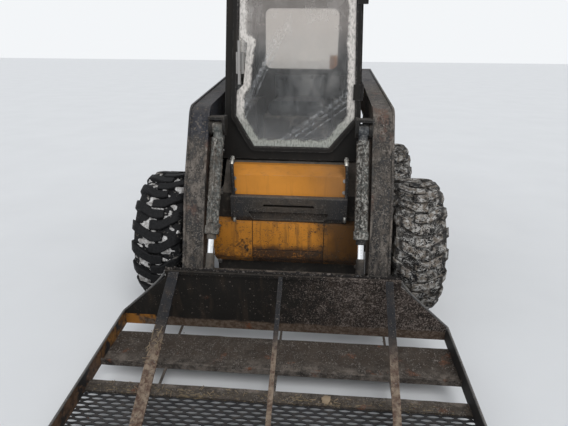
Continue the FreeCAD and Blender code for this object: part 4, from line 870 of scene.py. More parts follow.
# Finish of each carried-over solid
FINISHED_NODES = {
    "yellow_panel": "front_panel", "yellow_cover": "front_cover", "dirty_step": "front_step",
    "yellow_body": "engine_hood rear_uprights rear_door", "black_frame": "main_frame rear_bumper",
    "black_cab": "cab_frame cab_roof door_frame side_screens work_lamps", "cab_floor": "cab_floor",
    "arm_paint": "lift_arms", "bracket_painted_shade": "tilt_brackets", "coupler_paint": "coupler",
    "barrel_paint": "lift_barrel_left lift_barrel_right tilt_barrel_left tilt_barrel_right",
    "rod_chrome": "lift_rod_left lift_rod_right", "tilt_chrome": "tilt_rod_left tilt_rod_right",
    "bare_steel": "coupler_levers door_latch", "mesh_steel": "tray_mesh", "tray_wall": "tray_back",
    "tray_rail": "tray_sides", "tray_floor": "tray_floor", "tray_bars": "tray_bars",
    "axle_iron": "axle_housings engine_block",
    "rim_paint": "rim_front_left rim_front_right rim_rear_left rim_rear_right",
    "tyre_front_left": "tyre_front_left", "tyre_front_right": "tyre_front_right",
    "tyre_rear_left": "tyre_rear_left", "tyre_rear_right": "tyre_rear_right",
    "cab_glass": "side_windows door_glass", "rear_glass": "rear_window", "seat_vinyl": "seat_cushion seat_back",
    "console_plastic": "control_consoles", "lamp_red": "tail_lamps",
}
NODE_FINISH = {node: finish for finish, nodes in FINISHED_NODES.items() for node in nodes.split()}


# Operators, one for each piece or group of like pieces

CAMERA_PLACE = (0.1723, -3.03588, 1.5972)
CAMERA_ANGLES = (4.46, 19.94, 0.52)  # yaw, pitch and roll, in degrees
FOCAL_PIXELS, PICTURE_PIXELS, SENSOR = 454.6, 568, 36.0
SUNS = (("key", 1.25, 35.0, (-0.35, 0.75, -1.0)), ("fill", 0.35, 60.0, (0.8, 0.9, -0.5)))


class LOADER_OT_stage(bpy.types.Operator):
    """Camera, floor, lamps and pale surroundings"""

    bl_idname = "loader.stage"
    bl_label = "Stage"

    def execute(self, context):
        scene = context.scene
        scene.view_settings.view_transform = "Standard"
        yaw, pitch, roll = (math.radians(angle) for angle in CAMERA_ANGLES)
        level = Vector((-math.sin(yaw), math.cos(yaw), 0.0))
        side = Vector((math.cos(yaw), math.sin(yaw), 0.0))
        ahead = level * math.cos(pitch) + DOWN * math.sin(pitch)
        down = ahead.cross(side)
        right = side * math.cos(roll) - down * math.sin(roll)
        under = side * math.sin(roll) + down * math.cos(roll)
        view = bpy.data.cameras.new("camera")
        view.sensor_width = SENSOR
        view.lens = FOCAL_PIXELS / PICTURE_PIXELS * SENSOR
        view.clip_end = 200.0
        camera = bpy.data.objects.new("camera", view)
        turn = Matrix((right, -under, -ahead)).transposed().to_4x4()
        camera.matrix_world = Matrix.Translation(CAMERA_PLACE) @ turn
        scene.collection.objects.link(camera)
        scene.camera = camera

        bm = bmesh.new()
        bmesh.ops.create_grid(bm, x_segments=8, y_segments=8, size=60.0)
        mesh = bpy.data.meshes.new("floor")
        bm.to_mesh(mesh)
        bm.free()
        floor = bpy.data.objects.new("floor", mesh)
        scene.collection.objects.link(floor)
        net, shader, place, facing = start_finish("floor")
        net.put(shader["Base Color"], net.mix(net.noise(place, 1.3, 5.0), (0.70, 0.71, 0.72), (0.78, 0.79, 0.80)))
        net.put(shader["Roughness"], net.blend(net.noise(place, 6.0), 0.85, 0.95))
        mesh.materials.append(FINISH["floor"])

        sky = scene.world or bpy.data.worlds.new("surroundings")
        scene.world = sky
        sky.use_nodes = True
        sky.node_tree.nodes.clear()
        net = Net(sky.node_tree)
        seen = net.add("ShaderNodeLightPath").outputs
        lit = net.add("ShaderNodeBackground", {"Color": (0.93, 0.96, 1.0), "Strength": 0.62})
        pale = net.add("ShaderNodeBackground", {"Color": (0.90, 0.92, 0.94), "Strength": 1.0})
        share = net.most(seen["Is Camera Ray"], seen["Is Glossy Ray"], seen["Is Transmission Ray"])
        both = net.add("ShaderNodeMixShader", {0: share, 1: lit.outputs[0], 2: pale.outputs[0]})
        net.add("ShaderNodeOutputWorld", {"Surface": both.outputs[0]})

        for name, energy, spread, aim in SUNS:
            lamp = bpy.data.lights.new(name, "SUN")
            lamp.energy = energy
            lamp.angle = math.radians(spread)
            holder = bpy.data.objects.new(name, lamp)
            holder.rotation_euler = Vector(aim).to_track_quat("-Z", "Y").to_euler()
            scene.collection.objects.link(holder)
        return {"FINISHED"}


class LOADER_OT_finishes(bpy.types.Operator):
    """Materials, and those of every carried-over solid"""

    bl_idname = "loader.finishes"
    bl_label = "Finishes"

    def execute(self, context):
        make_effects()
        make_finishes()
        for name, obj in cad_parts.items():
            for slot in obj.material_slots:
                slot.material = FINISH[NODE_FINISH[name]]
        return {"FINISHED"}


# Half of a tyre's outline and of a lug's top, from (across, radius)
TYRE_SKIN = (
    (0.1120, 0.2115), (0.1235, 0.2190), (0.1235, 0.2320), (0.1290, 0.2400), (0.1400, 0.2600), (0.1495, 0.2850),
    (0.1525, 0.3100), (0.1505, 0.3380), (0.1455, 0.3600), (0.1380, 0.3780), (0.1180, 0.3890), (0.0700, 0.3955),
    (0.0, 0.3980),
)
TYRE_RIBS = ((0.2500, 0.0030), (0.3200, 0.0025), (0.3330, 0.0025))
LUG_PHASE = {"front_left": -4.75, "front_right": -10.55, "rear_left": 3.0, "rear_right": 7.5}
LUG_TOP = ((0.0, 1.0), (0.080, 0.9990), (0.120, 0.9900), (0.142, 0.9600), (0.1532, 0.9150))
LUG_START, LUG_END = -0.040, 0.1532


def between(table, along):
    """Value in a table of (place, value), read between its rows."""
    rows = sorted(table)
    for (a, low), (b, high) in zip(rows, rows[1:]):
        if along <= b:
            return low + (high - low) * (along - a) / (b - a)
    return rows[-1][1]


def skin_beyond(radius):
    """Rows of the tyre's outline beyond a radius."""
    return [(a, r) for a, r in TYRE_SKIN if r > radius]


def on_wheel(side, hub):
    return Matrix.Translation((side * WHEEL_SIDE, hub, AXLE_HEIGHT))


def add_lug(bm, side, sizes):
    """One lug of the tread, from past the tyre's middle to a shoulder, at the front of the wheel."""
    made = bmesh.ops.create_cube(bm, size=1.0)["verts"]
    long_edges = [e for e in edges_of(made) if abs(e.verts[0].co.x - e.verts[1].co.x) > 0.5]
    bmesh.ops.subdivide_edges(bm, edges=long_edges, cuts=7, use_grid_fill=True)
    skin = skin_beyond(0.30)
    for v in bm.verts:
        reach, wide, high = v.co.x + 0.5, v.co.y, v.co.z > 0
        across = LUG_START + (LUG_END - LUG_START) * reach
        base = between(skin, min(abs(across), 0.150)) - 0.005
        top = sizes.lug_height * between(LUG_TOP, abs(across))
        width = sizes.lug_width * (0.88 if reach < 0.05 else 1.0 + max(0.0, across)) * (1.0 if high else 1.18)
        turn = 1.46 * max(0.0, across - 0.028) + width * wide / 0.41
        radius = top if high else min(base, top - 0.004)
        v.co = Vector((side * across * (1.0 if high else 0.985), -radius * math.cos(turn), radius * math.sin(turn)))
    bm.normal_update()
    crown = [e for e in bm.edges if all(v.co.yz.length > 0.382 for v in e.verts) and e.calc_face_angle(0.0) > 0.7]
    ease(bm, crown, 0.0045, 1)


class LOADER_OT_tyres(bpy.types.Operator):
    """Four tyres with chevron lugs and ribbed sidewalls"""

    bl_idname = "loader.tyres"
    bl_label = "Tyres"

    def execute(self, context):
        sizes = context.scene.loader_sizes
        whole = bmesh.new()
        outer = [*TYRE_SKIN, *((-a, r) for a, r in reversed(TYRE_SKIN[:-1]))]
        lining = [(a * 0.90, r - 0.016) for a, r in TYRE_SKIN[3:]]
        inner = [(-0.100, 0.2115), *((-a, r) for a, r in lining), *reversed(lining[:-1]), (0.100, 0.2115)]
        add_turned(whole, outer + inner, (0, 0, 0), ACROSS, 96)
        for side in (1, -1):
            for ring, proud in TYRE_RIBS:
                flank = between([(r, a) for a, r in TYRE_SKIN], ring)
                rib = ((-0.003, -0.004), (proud, -0.0015), (proud, 0.0015), (-0.003, 0.004))
                add_turned(whole, [(side * (flank + a), ring + r) for a, r in rib], (0, 0, 0), ACROSS, 72)
            one = bmesh.new()
            add_lug(one, side, sizes)
            lug = bpy.data.meshes.new("lug")
            one.to_mesh(lug)
            one.free()
            for i in range(sizes.lug_count):
                start = len(whole.verts)
                whole.from_mesh(lug)
                whole.verts.ensure_lookup_table()
                turn = 2 * math.pi * (i + (0.0 if side > 0 else 0.5)) / sizes.lug_count
                matrix = Matrix.Rotation(turn, 3, "X")
                bmesh.ops.rotate(whole, cent=(0, 0, 0), matrix=matrix, verts=whole.verts[start:])
            bpy.data.meshes.remove(lug)
        master = bpy.data.meshes.new("tyre")
        whole.to_mesh(master)
        whole.free()
        for name, label, side, hub in each_wheel():
            bm = bmesh.new()
            bm.from_mesh(master)
            place = on_wheel(side, hub) @ Matrix.Rotation(math.radians(LUG_PHASE[name]), 4, "X")
            bmesh.ops.transform(bm, matrix=place, verts=bm.verts)
            piece("tread_" + name, bm, "wheel_" + name, "tyre_" + name, stands_for=("tyre_" + name,))
        bpy.data.meshes.remove(master)
        return {"FINISHED"}


class LOADER_OT_tyre_dirt(bpy.types.Operator):
    """Dirt and ice packed between the tyres' lugs"""

    bl_idname = "loader.tyre_dirt"
    bl_label = "Dirt in the tyres"

    def execute(self, context):
        skin = skin_beyond(0.34)
        upper = [(a, between(skin, abs(a)) - 0.005) for a in (0.146 * (i / 8 - 1) for i in range(17))]
        lower = [(a * 0.96, r - 0.010) for a, r in reversed(upper)]
        for name, label, side, hub in each_wheel():
            cover, depth = (-0.12, 0.0135) if side > 0 else (0.02, 0.018)
            bm = bmesh.new()
            add_turned(bm, upper + lower, (0, 0, 0), ACROSS, 210)
            for v in bm.verts:
                out = v.co.yz.length
                if out < between(skin, min(abs(v.co.x), 0.146)) - 0.010:
                    continue
                seed = v.co + Vector((side * 3.0, hub * 7.0, 0.0))
                field = 0.62 * noise.noise(seed * 24.0) + 0.38 * noise.noise(seed * 61.0)
                rise = min(1.0, max(0.0, (field - cover) / 0.22)) * (depth + 0.004 * noise.noise(seed * 40.0))
                rise *= min(1.0, (0.150 - abs(v.co.x)) / 0.02)
                scale = (out + rise) / out
                v.co.y *= scale
                v.co.z *= scale
            bmesh.ops.transform(bm, matrix=on_wheel(side, hub), verts=bm.verts)
            piece("tread_dirt_" + name, bm, "wheel_" + name, "packed_" + label)
        return {"FINISHED"}


class LOADER_OT_wheel_trim(bpy.types.Operator):
    """Wheel nuts, hub caps and valves"""

    bl_idname = "loader.wheel_trim"
    bl_label = "Wheel nuts"

    def execute(self, context):
        size = context.scene.loader_sizes.nut_size
        disc, nuts, ring = 0.7757, 8, 0.062
        cap = [(0.010, 0.0), (0.009, 0.014), (0.004, 0.030), (-0.006, 0.0405), (-0.020, 0.0410), (-0.020, 0.0)]
        for name, label, side, hub in each_wheel():
            bm = bmesh.new()
            for i in range(nuts):
                turn = 2 * math.pi * i / nuts
                spot = Vector((side * disc, hub + ring * math.cos(turn), AXLE_HEIGHT + ring * math.sin(turn)))
                add_hex(bm, spot, (side, 0, 0), size, 0.016)
                add_round(bm, spot, spot + ACROSS * (side * 0.026), size * 0.45, sides=10)
            add_turned(bm, cap, (side * 0.7990, hub, AXLE_HEIGHT), (side, 0, 0), 32, closed=False)
            stem = Vector((side * 0.790, hub, AXLE_HEIGHT + 0.176))
            add_round(bm, stem, stem + Vector((side * 0.030, 0, 0.012)), 0.004, sides=8)
            piece("wheel_nuts_" + name, bm, "wheel_" + name, "bare_steel")
        return {"FINISHED"}


class LOADER_OT_tray_mesh(bpy.types.Operator):
    """Expanded mesh of the tray's floor, with flat slots in staggered rows"""

    bl_idname = "loader.tray_mesh"
    bl_label = "Tray mesh"

    def execute(self, context):
        sizes = context.scene.loader_sizes
        near, far = 0.4805, 0.8445
        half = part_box("tray_mesh")[1].x - 0.004
        wide, deep = sizes.mesh_width, sizes.mesh_depth / 2
        cell = bmesh.new()
        bmesh.ops.create_grid(cell, x_segments=8, y_segments=1, size=0.5)
        cell.normal_update()
        inside = cell.faces[:]
        rim = set(cell.verts)
        bmesh.ops.inset_region(cell, faces=inside, thickness=0.02, use_boundary=True)
        for v in cell.verts:
            if v not in rim:
                reach = max(-1.0, min(1.0, v.co.x / 0.48))
                slot = 0.5 * (1.0 - sizes.mesh_strand / deep) * (1.0 - 0.45 * abs(reach) ** 3)
                v.co.x = reach * (0.5 - 0.6 * sizes.mesh_strand / wide)
                v.co.y = math.copysign(slot, v.co.y)
        bmesh.ops.delete(cell, geom=inside, context="FACES")
        one = bpy.data.meshes.new("cell")
        cell.to_mesh(one)
        cell.free()
        bm = bmesh.new()
        rows = math.ceil((far - near) / deep) + 1
        columns = math.ceil(2 * half / wide) + 2
        for row in range(rows):
            for column in range(columns):
                start = len(bm.verts)
                bm.from_mesh(one)
                bm.verts.ensure_lookup_table()
                corner = Vector(((column - columns / 2 + 0.5 * (row % 2)) * wide, near + (row + 0.5) * deep, 0.0))
                place = Matrix.Translation(corner) @ Matrix.Diagonal((wide, deep, 1.0, 1.0))
                bmesh.ops.transform(bm, matrix=place, verts=bm.verts[start:])
        bpy.data.meshes.remove(one)
        bmesh.ops.remove_doubles(bm, verts=bm.verts, dist=0.0004)
        sides = ((half, 0, 0), ACROSS), ((-half, 0, 0), -ACROSS), ((0, far, 0), BEHIND), ((0, near, 0), AHEAD)
        for at, outwards in sides:
            every = bm.verts[:] + bm.edges[:] + bm.faces[:]
            bmesh.ops.bisect_plane(bm, geom=every, dist=1e-6, plane_co=at, plane_no=outwards, clear_outer=True)
        bmesh.ops.solidify(bm, geom=bm.faces[:], thickness=0.0062)
        for v in bm.verts:
            across, forward, up = v.co
            row = (forward - near) / deep
            wave = 0.0026 * math.cos(2 * math.pi * across / wide) * math.cos(math.pi * row)
            tilt = 0.0016 * math.sin(2 * math.pi * row)
            v.co = on_tray(across, forward, 0.0035 + up + wave + tilt)
        piece("expanded_mesh", bm, "coupler", "mesh_steel", stands_for=("tray_mesh",))
        return {"FINISHED"}


# Strips across the tray's floor as (near, far, top), its runners, and the sloping bars' ends as (forward, up)
STRIPS = (
    (0.080, 0.200, 0.008), (0.1995, 0.312, 0.014), (0.302, 0.312, 0.034), (0.417, 0.480, 0.014), (0.845, 0.915, 0.016))
RUNNERS = ((0.0083, 0.082), (0.310, 0.418))
BAR_TOP, BAR_FOOT = (0.0242, 0.3771), (0.8369, 0.0104)


def add_strip(bm, near, far, top):
    """Flat strip of the tray's floor from rail to rail, with an uneven top and edges."""
    rough = 0.0022

    def shape(unit):
        forward = near + (far - near) * (unit.y + 0.5)
        across = 2.0 * unit.x * (0.8728 + 0.0382 * (forward - 0.080))
        up = top * (unit.z + 0.5)
        if unit.z > 0:
            up += rough * noise.noise(Vector((across * 9.0, forward * 30.0, near)))
        forward += rough * noise.noise(Vector((across * 13.0, near * 9.0, 4.0)))
        return on_tray(across, forward, up)
    add_bar(bm, (70, max(1, round((far - near) / 0.025))), shape)


def add_runner(bm, x, near, far):
    """Thin bar along the tray's floor."""
    def shape(unit):
        return on_tray(x + 0.012 * unit.x, near + (far - near) * (unit.y + 0.5), 0.004 + 0.006 * unit.z)
    add_bar(bm, (0, 2), shape)


def on_bar(along):
    """Middle of a sloping bar as (forward, up), at a share of its way down."""
    return [top + (foot - top) * along for top, foot in zip(BAR_TOP, BAR_FOOT)]


def add_sloping(bm, x_top, x_foot, width):
    """Flat bar from the back wall's top down to the mesh's front, with uneven edges."""
    def shape(unit):
        along = unit.y + 0.5
        uneven = 0.0015 * noise.noise(Vector((unit.x * 3.0, along * 22.0, x_top)))
        forward, up = on_bar(along)
        x = x_top + (x_foot - x_top) * along + width * unit.x + uneven
        return on_tray(x, forward + 0.0037 * unit.z, up + 0.0082 * unit.z)
    add_bar(bm, (0, 40), shape)


class LOADER_OT_tray_deck(bpy.types.Operator):
    """Floor strips, runners and sloping bars of the tray"""

    bl_idname = "loader.tray_deck"
    bl_label = "Tray deck"

    def execute(self, context):
        bm = bmesh.new()
        for strip in STRIPS:
            add_strip(bm, *strip)
        for x in (-0.55, 0.0, 0.55):
            for ends in RUNNERS:
                add_runner(bm, x, *ends)
        piece("tray_deck", bm, "coupler", "tray_floor", stands_for=("tray_floor",))
        bm = bmesh.new()
        add_sloping(bm, -0.550, -0.553, 0.054)
        add_sloping(bm, 0.0, 0.0, 0.022)
        add_sloping(bm, 0.540, 0.526, 0.036)
        piece("tray_straps", bm, "coupler", "tray_bars", stands_for=("tray_bars",))
        return {"FINISHED"}


# Run of a tray's rim as (across, forward, up), from the wall's corner along the rail
RIM_LINE = (
    (0.6035, 0.004, 0.372), (0.6065, 0.004, 0.340), (0.8640, 0.004, 0.094), (0.8740, 0.004, 0.086),
    (0.8900, 0.400, 0.0870), (0.9045, 0.762, 0.0870))


class LOADER_OT_wall_top(bpy.types.Operator):
    """Crumbs along the tray's back wall, rims of the tray in lighter steel as painted highlight, and a black plate
    behind the lower cover as painted shade
    """

    bl_idname = "loader.wall_top"
    bl_label = "Wall top"

    def execute(self, context):
        def shape(unit):
            across = 1.196 * unit.x
            seed = Vector((across * 40.0, unit.y * 2.0, 0.0))
            tall = max(0.0, 0.009 + 0.016 * noise.noise(seed) + 0.012 * noise.noise(seed * 2.7))
            up = 0.378 + (0.006 + tall * (1.0 - 1.2 * abs(unit.y)) if unit.z > 0 else 0.0)
            return on_tray(across, 0.004 + 0.012 * unit.y, up)

        bm = bmesh.new()
        add_bar(bm, (260, 2), shape)
        piece("wall_crumbs", bm, "coupler", "crumbs", sharp=60)
        bm = bmesh.new()
        # Rims in lighter steel along the wall's slope and the rail's top: a real edge with a painted highlight on it.
        for side in (1, -1):
            add_tube(bm, [on_tray(side * x, forward, up) for x, forward, up in RIM_LINE], 0.0055, sides=8)
        piece("tray_rim_highlights", bm, "coupler", "rim_steel_highlight")
        # Black plate behind the lower cover: painted shade that darkens the gap where the machine's shadow falls.
        bm = bmesh.new()
        add_block(bm, (-0.450, -0.4335, 0.212), (0.450, -0.4265, 0.330), 0.002)
        piece("shade_plate", bm, "root", "black_frame")
        return {"FINISHED"}


class LOADER_OT_tray_dirt(bpy.types.Operator):
    """Gravel, a clod and straw in the tray, and dirt that sticks to its back wall"""

    bl_idname = "loader.tray_dirt"
    bl_label = "Dirt in the tray"

    def execute(self, context):
        rng = random.Random(11)
        bm = bmesh.new()
        strips = surface_of("tray_floor")
        for i in range(620):
            forward = rng.choice((rng.uniform(0.085, 0.31), rng.uniform(0.42, 0.485), rng.uniform(0.01, 0.31)))
            hit, facing = strips.ray_cast(on_tray(rng.uniform(-0.87, 0.87), forward, 0.12), DOWN)[:2]
            if hit is None or facing.z < 0.5:
                continue
            size = rng.uniform(0.002, 0.0055) * (1.8 if rng.random() < 0.10 else 1.0)
            add_clod(bm, hit, facing, size, 0.6, i * 0.37)
        piece("tray_gravel", bm, "coupler", "clod", sharp=50)

        bm = bmesh.new()
        for i, (across, forward, size) in enumerate(((0.244, 0.452, 0.028), (0.262, 0.468, 0.010), (0.226, 0.446, 0.008))):
            add_clod(bm, on_tray(across, forward, 0.010 + size * 0.4), (0, 0, 1), size, 0.8, 4.7 + 3.1 * i)
        for i in range(70):
            if i < 34:
                across, forward = -0.551 + rng.uniform(-0.035, 0.030), rng.uniform(0.28, 0.46)
                down, up = 0.451, on_bar((forward - BAR_TOP[0]) / (BAR_FOOT[0] - BAR_TOP[0]))[1] + 0.006
            else:
                across, forward = rng.uniform(-0.80, 0.35), rng.uniform(0.420, 0.478)
                down, up = 0.0, 0.0165
            turn, long = rng.uniform(0.0, math.pi), rng.uniform(0.012, 0.034)
            ends = []
            for half, lift in ((-0.5 * long, 0.0), (0.5 * long, 0.003)):
                ahead = half * math.sin(turn)
                ends.append(on_tray(across + half * math.cos(turn), forward + ahead, up - ahead * down + lift))
            add_round(bm, *ends, 0.0017, 0.0011, sides=5)
        piece("tan_clod_and_straw", bm, "coupler", "straw", sharp=50)

        bm = bmesh.new()
        wall = surface_of("tray_back")
        for i in range(520):
            across = rng.uniform(-0.6, 0.84) if rng.random() < 0.25 else rng.triangular(-0.1, 0.84, 0.5)
            hit, facing = wall.ray_cast(Vector((across, -1.4, rng.uniform(0.20, 0.515))), BEHIND)[:2]
            if hit is not None:
                add_clod(bm, hit, facing, rng.uniform(0.002, 0.0075), 0.45, i * 0.53)
        piece("wall_dirt", bm, "coupler", "dark_clod", sharp=50)
        return {"FINISHED"}


class LOADER_OT_arm_dirt(bpy.types.Operator):
    """Lumps of dirt on the arms' fronts and the tilt cylinders"""

    bl_idname = "loader.arm_dirt"
    bl_label = "Dirt on the arms"

    def execute(self, context):
        rng = random.Random(23)
        bm = bmesh.new()
        arms = surface_of("lift_arms")
        for i in range(560):
            side = rng.choice((1, -1))
            start = Vector((side * rng.uniform(0.470, 0.580), -1.2, rng.uniform(0.50, 1.30)))
            hit, facing, index, gap = arms.ray_cast(start, BEHIND)
            if hit is not None and gap <= 1.2:
                add_clod(bm, hit, facing, rng.uniform(0.002, 0.008), 0.4, i * 0.41)
        piece("arm_clods", bm, "lift_arms", "clod", sharp=50)
        for label, side in SIDES:
            bm = bmesh.new()
            barrel = surface_of("tilt_barrel_" + label)
            for i in range(300):
                mid = on_side(TILT_BASE, side) + TILT_LINE * rng.uniform(0.07, 0.66)
                turn = rng.uniform(-1.9, 1.9)
                toward = Vector((math.sin(turn), -math.cos(turn) * 0.892, math.cos(turn) * 0.452))
                hit, facing = barrel.ray_cast(mid + toward * 0.2, -toward)[:2]
                if hit is not None:
                    add_clod(bm, hit, facing, rng.uniform(0.003, 0.0085), 0.5, i * 0.29 + side)
            piece("barrel_clods_" + label, bm, "tilt_barrel_" + label, "clod", sharp=50)
        return {"FINISHED"}


def door_corners(inset, y, notch=0.0):
    """Outline of the door's glass, drawn upright and leant back; notch draws it in beside the lock."""
    low, knee, high = 1.002 + inset, 1.202 + inset * 0.3, 1.982 - inset
    bottom, mid, top = 0.244 - inset * 0.55, 0.402 - inset, 0.374 - inset
    free = 0.036
    corners = [(bottom, low), (mid, knee), (top, high), (free - top, high)]
    if notch:
        corners += [
            (free - top - 0.004, 1.66), (free - top + notch, 1.625), (free - mid + notch + 0.004, 1.39),
            (free - mid + 0.004, 1.355)]
    corners += [(free - mid, knee), (-bottom, low)]
    return [leant((x, y, z)) for x, z in corners]


class LOADER_OT_door_trim(bpy.types.Operator):
    """Seal, frosted band and dusty film of the door's glass"""

    bl_idname = "loader.door_trim"
    bl_label = "Door trim"

    def execute(self, context):
        inwards = leant((0, 1, 1)) - leant((0, 0, 1))
        bm = bmesh.new()
        add_ring_plate(bm, door_corners(0.021, -0.3195), 0.008, 0.010, inwards)
        piece("door_seal", bm, "front_door", "hose_rubber", merge=1e-5)
        bm = bmesh.new()
        outer = door_corners(0.030, -0.3082, notch=0.040)
        add_ring_plate(bm, outer, 0.052, 0.0006, inwards, corner=0.0)
        layer = bm.verts.layers.float.new("inwards")
        rim = [(Vector(a), Vector(b)) for a, b in zip(outer, outer[1:] + outer[:1])]
        for v in bm.verts:
            gaps = []
            for a, b in rim:
                share = min(1.0, max(0.0, (v.co - a).dot(b - a) / (b - a).length_squared))
                gaps.append((v.co - a - (b - a) * share).length)
            v[layer] = 1.0 if min(gaps) > 0.026 else 0.0
        piece("door_frosting", bm, "front_door", "frosted_band", merge=1e-5)
        bm = bmesh.new()
        bm.faces.new([bm.verts.new(c) for c in door_corners(0.0515, -0.30785)])
        piece("door_film", bm, "front_door", "pane_film", merge=1e-5)
        return {"FINISHED"}


# Kind, base and line of a cylinder, how far its barrel reaches, and the radii of barrel and rod
CYLINDERS = (("lift", LIFT_BASE, LIFT_LINE, 0.890, 0.044, 0.0255), ("tilt", TILT_BASE, TILT_LINE, 0.615, 0.035, 0.0205))
PIPE_BENDS = ((0.0, 0.0), (0.03, 0.004), (0.06, -0.008), (0.12, -0.013))
WIPER = ((-0.002, 0.0212), (-0.002, 0.0265), (0.026, 0.0265), (0.030, 0.0235), (0.030, 0.0212))
ROD_HEAD = ((0.722, 0.0202), (0.722, 0.0225), (0.727, 0.0240), (0.812, 0.0245), (0.820, 0.0202))


class LOADER_OT_hydraulics(bpy.types.Operator):
    """Glands, ports and pipes of the cylinders, and wipers and rod heads of the tilt cylinders"""

    bl_idname = "loader.hydraulics"
    bl_label = "Hydraulics"

    def execute(self, context):
        for label, side in SIDES:
            for kind, base, line, end, radius, rod in CYLINDERS:
                start = on_side(base, side)
                face = start + line * end
                up = Vector((0, line.z, -line.y))
                gland = (
                    (-0.034, radius), (-0.034, radius + 0.006), (-0.004, radius + 0.006), (0.0, radius + 0.002),
                    (0.002, rod + 0.008), (0.006, rod + 0.0015), (-0.004, rod + 0.0008), (-0.010, radius))
                bm = bmesh.new()
                add_turned(bm, gland, face, line, 32)
                for along in (0.09, end - 0.07):
                    port = start + line * along + up * (radius - 0.003)
                    add_round(bm, port, port + up * 0.020, 0.013, sides=16, bevel=0.0015)
                    add_hex(bm, port + up * 0.020, up, 0.0125, 0.012, washer=False)
                near = start + line * 0.09 + up * (radius + 0.024)
                far = start + line * (end - 0.07) + up * (radius + 0.024)
                run = [near + line * along + up * rise for along, rise in PIPE_BENDS]
                run += [far - line * along + up * rise for along, rise in reversed(PIPE_BENDS)]
                add_tube(bm, run, 0.0062)
                for along in (0.30, 0.62):
                    mid = start + line * (0.066 + (end - 0.066) * along)
                    band = [(a, radius + r) for a, r in ((-0.008, -0.001), (-0.008, 0.0025), (0.008, 0.0025), (0.008, -0.001))]
                    add_turned(bm, band, mid, line, 32)
                piece(kind + "_gland_" + label, bm, kind + "_barrel_" + label, "barrel_paint")
            wiper, head = ("hose_rubber", "coupler_paint") if side > 0 else ("axle_iron", "axle_iron")
            bm = bmesh.new()
            add_turned(bm, WIPER, face, line, 32)
            piece("tilt_wiper_" + label, bm, "tilt_barrel_" + label, wiper)
            bm = bmesh.new()
            add_turned(bm, ROD_HEAD, start, line, 32)
            piece("tilt_head_" + label, bm, "tilt_rod_" + label, head)
        return {"FINISHED"}


# Runs of the two hoses in front of the chassis, from the top
RIGHT_HOSE = (
    (-0.338, -0.452, 0.972), (-0.337, -0.474, 0.945), (-0.334, -0.480, 0.89), (-0.331, -0.478, 0.80),
    (-0.327, -0.484, 0.70), (-0.325, -0.502, 0.635), (-0.325, -0.500, 0.600))
LEFT_HOSE = (
    (0.330, -0.448, 0.978), (0.332, -0.470, 0.955), (0.336, -0.478, 0.90), (0.338, -0.480, 0.80),
    (0.338, -0.486, 0.70), (0.336, -0.502, 0.640))


class LOADER_OT_front_lines(bpy.types.Operator):
    """Hoses with their fittings beside the front panel"""

    bl_idname = "loader.front_lines"
    bl_label = "Front hoses"

    def execute(self, context):
        bm = bmesh.new()
        add_tube(bm, RIGHT_HOSE, 0.0105, sides=12)
        add_tube(bm, LEFT_HOSE, 0.009, sides=12)
        piece("front_hoses", bm, "root", "hose_rubber")
        bm = bmesh.new()
        for x, y, z in (RIGHT_HOSE[0], LEFT_HOSE[0]):
            add_round(bm, (x, y + 0.030, z + 0.016), (x, y, z), 0.011, sides=16, bevel=0.001)
            add_hex(bm, (x, y + 0.016, z + 0.009), (0, -0.88, -0.47), 0.0155, 0.014, washer=False)
            add_round(bm, (x, y, z), (x, y - 0.018, z - 0.020), 0.0125, sides=16, bevel=0.001)
        for x, z in ((-0.325, 0.625), (0.336, 0.650)):
            add_round(bm, (x, -0.5005, z + 0.012), (x, -0.5025, z - 0.020), 0.0125, sides=16, bevel=0.001)
        piece("hose_fittings", bm, "root", "fitting_steel")
        return {"FINISHED"}


class LOADER_OT_rear_fittings(bpy.types.Operator):
    """Handle and hinges of the rear door, and bolts of the roof and the uprights"""

    bl_idname = "loader.rear_fittings"
    bl_label = "Rear fittings"

    def execute(self, context):
        bm = bmesh.new()
        add_block(bm, (-0.345, 1.6625, 0.790), (-0.315, 1.6670, 0.880), 0.0015)
        add_round(bm, (-0.330, 1.666, 0.835), (-0.330, 1.678, 0.835), 0.011, sides=20, bevel=0.001)
        add_block(bm, (-0.335, 1.676, 0.800), (-0.325, 1.683, 0.842), 0.002)
        piece("rear_handle", bm, "rear_door", "fitting_steel")
        bm = bmesh.new()
        for z in (0.600, 0.825, 1.050):
            add_block(bm, (0.318, 1.6627, z - 0.022), (0.366, 1.6665, z + 0.022), 0.001)
            for dx in (0.012, 0.036):
                for dz in (-0.013, 0.013):
                    add_hex(bm, (0.318 + dx, 1.6665, z + dz), BEHIND, 0.0055, 0.004, washer=False)
        piece("rear_hinge_leaves", bm, "rear_door", "black_frame")
        bm = bmesh.new()
        roof = surface_of("cab_roof")
        for x in (-0.24, 0.24):
            for y in (0.06, 0.52):
                hit, facing = roof.ray_cast(Vector((x, y, 2.3)), DOWN)[:2]
                if hit is not None:
                    add_hex(bm, hit, facing, 0.009, 0.006)
        piece("roof_bolts", bm, "root", "bare_steel")
        bm = bmesh.new()
        sides = surface_of("rear_uprights")
        for side in (1, -1):
            for y in (0.94, 1.20, 1.50):
                for z in (0.86, 1.06, 1.24):
                    hit, facing = sides.ray_cast(Vector((side * 0.9, y, z)), ACROSS * -side)[:2]
                    if hit is not None and abs(facing.x) > 0.9 and abs(hit.x) > 0.40:
                        add_hex(bm, hit, facing, 0.009, 0.006)
        piece("upright_bolts", bm, "root", "bare_steel")
        return {"FINISHED"}


